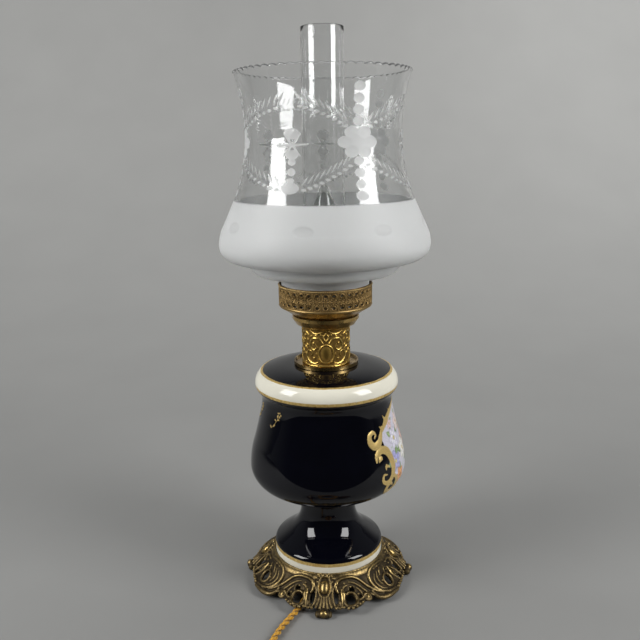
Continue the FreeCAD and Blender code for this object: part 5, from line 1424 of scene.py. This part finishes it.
def engrave(canvas, place):
    """Flower chains and star chains, with two rows of garlands between them."""
    for x in np.array(FLOWER_ANGLES) * SHADE_DEGREE:
        for level, across, up in FLOWER_OVALS:
            canvas.oval((x, place(level)), across, up, cover=0.86, lift=-0.35, rounding=3)
        for cos, sin in map(spoke, around(6)):
            canvas.oval((x + cos * 12.8, place(FLOWER_LEVEL + sin * 9.4)), 6.8, 5.2, cover=0.94,
                        lift=-0.55, rounding=3)
        canvas.oval((x, place(FLOWER_LEVEL)), 8.8, 6.6, cover=0.8, lift=-0.2, rounding=4)
        for level, half in FLOWER_DROPS:
            canvas.oval((x, place(level)), half, half * 0.8, cover=0.86, lift=-0.35, rounding=3)
    for x in np.array(STAR_ANGLES) * SHADE_DEGREE:
        for level, across, up in STAR_OVALS:
            canvas.oval((x, place(level)), across, up, cover=0.66, lift=-0.35, rounding=3)
        for turn, reach in STAR_RAYS:
            cos, sin = spoke(turn)
            ends = [(x + reach * part * cos, place(STAR_LEVEL + reach * part * sin))
                    for part in (-1, -0.5, 0, 0.5, 1)]
            canvas.line(ends, [0.4, 1.0, 1.1, 1.0, 0.4], cover=1, lift=-0.7, rounding=1)
    chains = sorted([(angle, "flower") for angle in FLOWER_ANGLES]
                    + [(angle, "star") for angle in STAR_ANGLES])
    chains.append((chains[0][0] + 360, chains[0][1]))
    for (first, kind), (second, other) in zip(chains, chains[1:]):
        for levels, sag in GARLANDS:
            garland(canvas, (first * SHADE_DEGREE + 8, levels[kind]),
                    (second * SHADE_DEGREE - 8, levels[other]), sag, place)


def shade_rows(surface):
    """Distances along the shade's outline, close together where there is cut work."""
    marks, s = [0.0], 0.0
    while s < surface.length - 0.5:
        level = surface.profile(s)[1]
        is_cut = level > FROST_LEVEL - 3 or abs(level - LENS_LEVEL) < 7.5
        s += CUT_STEP if is_cut else PLAIN_STEP
        marks.append(min(s, surface.length))
    return np.array(marks)


def make_shade():
    """The glass shade: etched below, engraved above, with a scalloped ground rim."""
    surface = Surface(SHADE_OUTLINE)
    rows = shade_rows(surface)
    canvas = Canvas(360 * SHADE_DEGREE, SHADE_COLUMNS, rows, soft=0.55)
    belly = surface.find(BELLY_LEVEL, 70)
    angles = VIEW_ANGLE + around(SHADE_COLUMNS)
    cusp = np.abs(np.sin(np.radians(angles) * SCALLOPS / 2)) ** 0.75

    def place(level):
        return surface.find(level, belly)

    def wall(s, lift):
        """Rows of points off the outline, lowered by the scallops near the rim."""
        ease = np.clip((s - (surface.length - RIM_EASE)) / RIM_EASE, 0, 1) ** 2
        points = surface.at(s[:, None], angles[None], lift)
        points[..., 2] -= SCALLOP_DEPTH * (1 - cusp)[None] * ease[:, None]
        return points

    canvas.cover[:] = (surface.profile(rows)[1] < FROST_LEVEL)[:, None]
    engrave(canvas, place)
    for angle in LENS_ANGLES:
        canvas.oval((angle * SHADE_DEGREE, place(LENS_LEVEL)), 7.2, 5.2, cover=0.85, lift=-1.0,
                    rounding=4.6)
    near_rim = rows[rows > surface.length - RIM_ROWS_FROM][::-1]
    outer = wall(rows, canvas.height)
    inner = wall(np.concatenate([near_rim, np.arange(near_rim[-1] - 2, 2, -2.5), [0.0]]),
                 -SHADE_WALL)
    lip = (outer[-1] + inner[0]) / 2
    lip[:, 2] += RIM_CROWN
    outer[-1, :, 2] -= RIM_FALL
    inner[0, :, 2] -= RIM_FALL
    item = grid_object("shade_engraved", np.concatenate([outer, lip[None], inner]))
    frost = INNER_FROST * (vertex_places(item.data)[:, 2] < FROST_LEVEL)
    outside = canvas.cover.size
    frost[:outside] = canvas.cover.ravel()
    frost[outside - SHADE_COLUMNS:outside + 2 * SHADE_COLUMNS] = RIM_FROST
    set_attribute(item.data, "frost", frost)
    smooth(item.data, 50)
    finish_piece(item, frosted_glass(), "shade", ["shade"])


CHIMNEY_OUTLINE = [
    (20.65, 301.6), (20.65, 572.8, 1), (19.8, 573.9), (18.9, 572.8), (18.85, 302.4),
    (19.6, 301.6),
]
BULB_OUTLINE = [
    (5.9, 344), (6.2, 354, -30), (14.5, 368, 14), (17.5, 380, 45), (12, 405, 200), (3, 425.4, 2.6),
    (0.4, 427), (0.4, 426.2), (2.4, 424.8, -200), (11.2, 404.6, -45), (16.7, 380, -14),
    (13.8, 368.4, 30), (5.5, 354), (5.2, 344),
]
BULB_FLUTES, BULB_TWIST, BULB_FLUTE_DEPTH, BULB_LEAST_RADIUS = 8, 5, 0.018, 0.35


def make_chimney_and_bulb():
    chimney = grid_object("chimney_clear", spun(dense_outline(CHIMNEY_OUTLINE, 6), 256))
    finish_piece(chimney, clear_glass("chimney_glass", (0.995, 0.998, 0.997), 0.02), "chimney",
                 ["chimney"])
    outline = dense_outline(BULB_OUTLINE, 1.2)
    outline = outline[outline[:, 0] > BULB_LEAST_RADIUS]
    points, levels = spun(outline, 128), outline[:, 1:]
    twist = np.radians(around(128)[None] * BULB_FLUTES + (levels - 360) * BULB_TWIST)
    swell = np.clip((levels - 360) / 20, 0, 1) * np.clip((424 - levels) / 25, 0, 1)
    points[..., :2] *= (1 + BULB_FLUTE_DEPTH * np.sin(twist) * swell)[..., None]
    finish_piece(grid_object("bulb_candle", points),
                 clear_glass("bulb_clear", (0.95, 0.96, 0.95), 0.12), "bulb",
                 ["bulb_glass"])


# ---------------------------------------------------------------- the CAD nodes that stay


def dress_nodes():
    for material, names in (
        (plated_metal("zinc_steel", (0.50, 0.50, 0.51), 0.35),
         "base_plate lock_washer bottom_nut threaded_rod bottom_cover cover_screws top_nut "
         "rocker_pin"),
        (plated_metal("nickel_plate", (0.70, 0.68, 0.65), 0.2),
         "screw_shell bulb_cap bulb_contact plug_pins"),
        (polished_brass("bright_brass", (0.70, 0.47, 0.16), (0.25, 0.15, 0.05), 0.9),
         "drip_dish gallery_cup spacer_tube socket_cap socket_sleeve centre_contact "
         "terminal_screws"),
        (polished_brass("dull_brass", (0.56, 0.38, 0.14), (0.14, 0.09, 0.035), 1.6),
         "switch_screws collar_flange chimney_holder"),
        (matt_material("green_felt", (0.045, 0.085, 0.035), (0.075, 0.12, 0.05), 0.5, 0.3,
                       sheen=0.4), "seat_felt joint_felt mouth_felt"),
        (moulded("brown_bakelite", (0.060, 0.024, 0.012), (0.115, 0.048, 0.020)),
         "switch_base switch_cover plug_body"),
        (moulded("ivory_plastic", (0.66, 0.58, 0.42), (0.72, 0.66, 0.52), 0.35, 0.2),
         "switch_rocker"),
        (matt_material("black_rubber", (0.018, 0.018, 0.018), (0.035, 0.034, 0.032), 0.8, 0.05,
                       0.6), "cord_bush"),
        (moulded("white_plastic", (0.74, 0.73, 0.68), (0.80, 0.79, 0.75)), "terminal_block"),
        (moulded("wire_sheath", (0.20, 0.08, 0.04), (0.26, 0.11, 0.05), 0.45),
         "internal_wires"),
        (moulded("steatite", (0.74, 0.71, 0.64), (0.80, 0.78, 0.72), 0.5, 0.1), "socket_core"),
        (moulded("black_glass", (0.010, 0.010, 0.014), (0.02, 0.02, 0.03), 0.08, 0.8),
         "bulb_insulator"),
        (plated_metal("filament_wire", (0.30, 0.29, 0.28), 0.35), "bulb_filament"),
        (leather(), "coil_tie"),
    ):
        for name in names.split():
            dress(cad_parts[name], material)


make_camera()
make_backdrop()
make_lights()
make_flex()
make_porcelain()
make_paintings()
make_base()
make_drum()
make_band()
make_shade()
make_chimney_and_bulb()
dress_nodes()
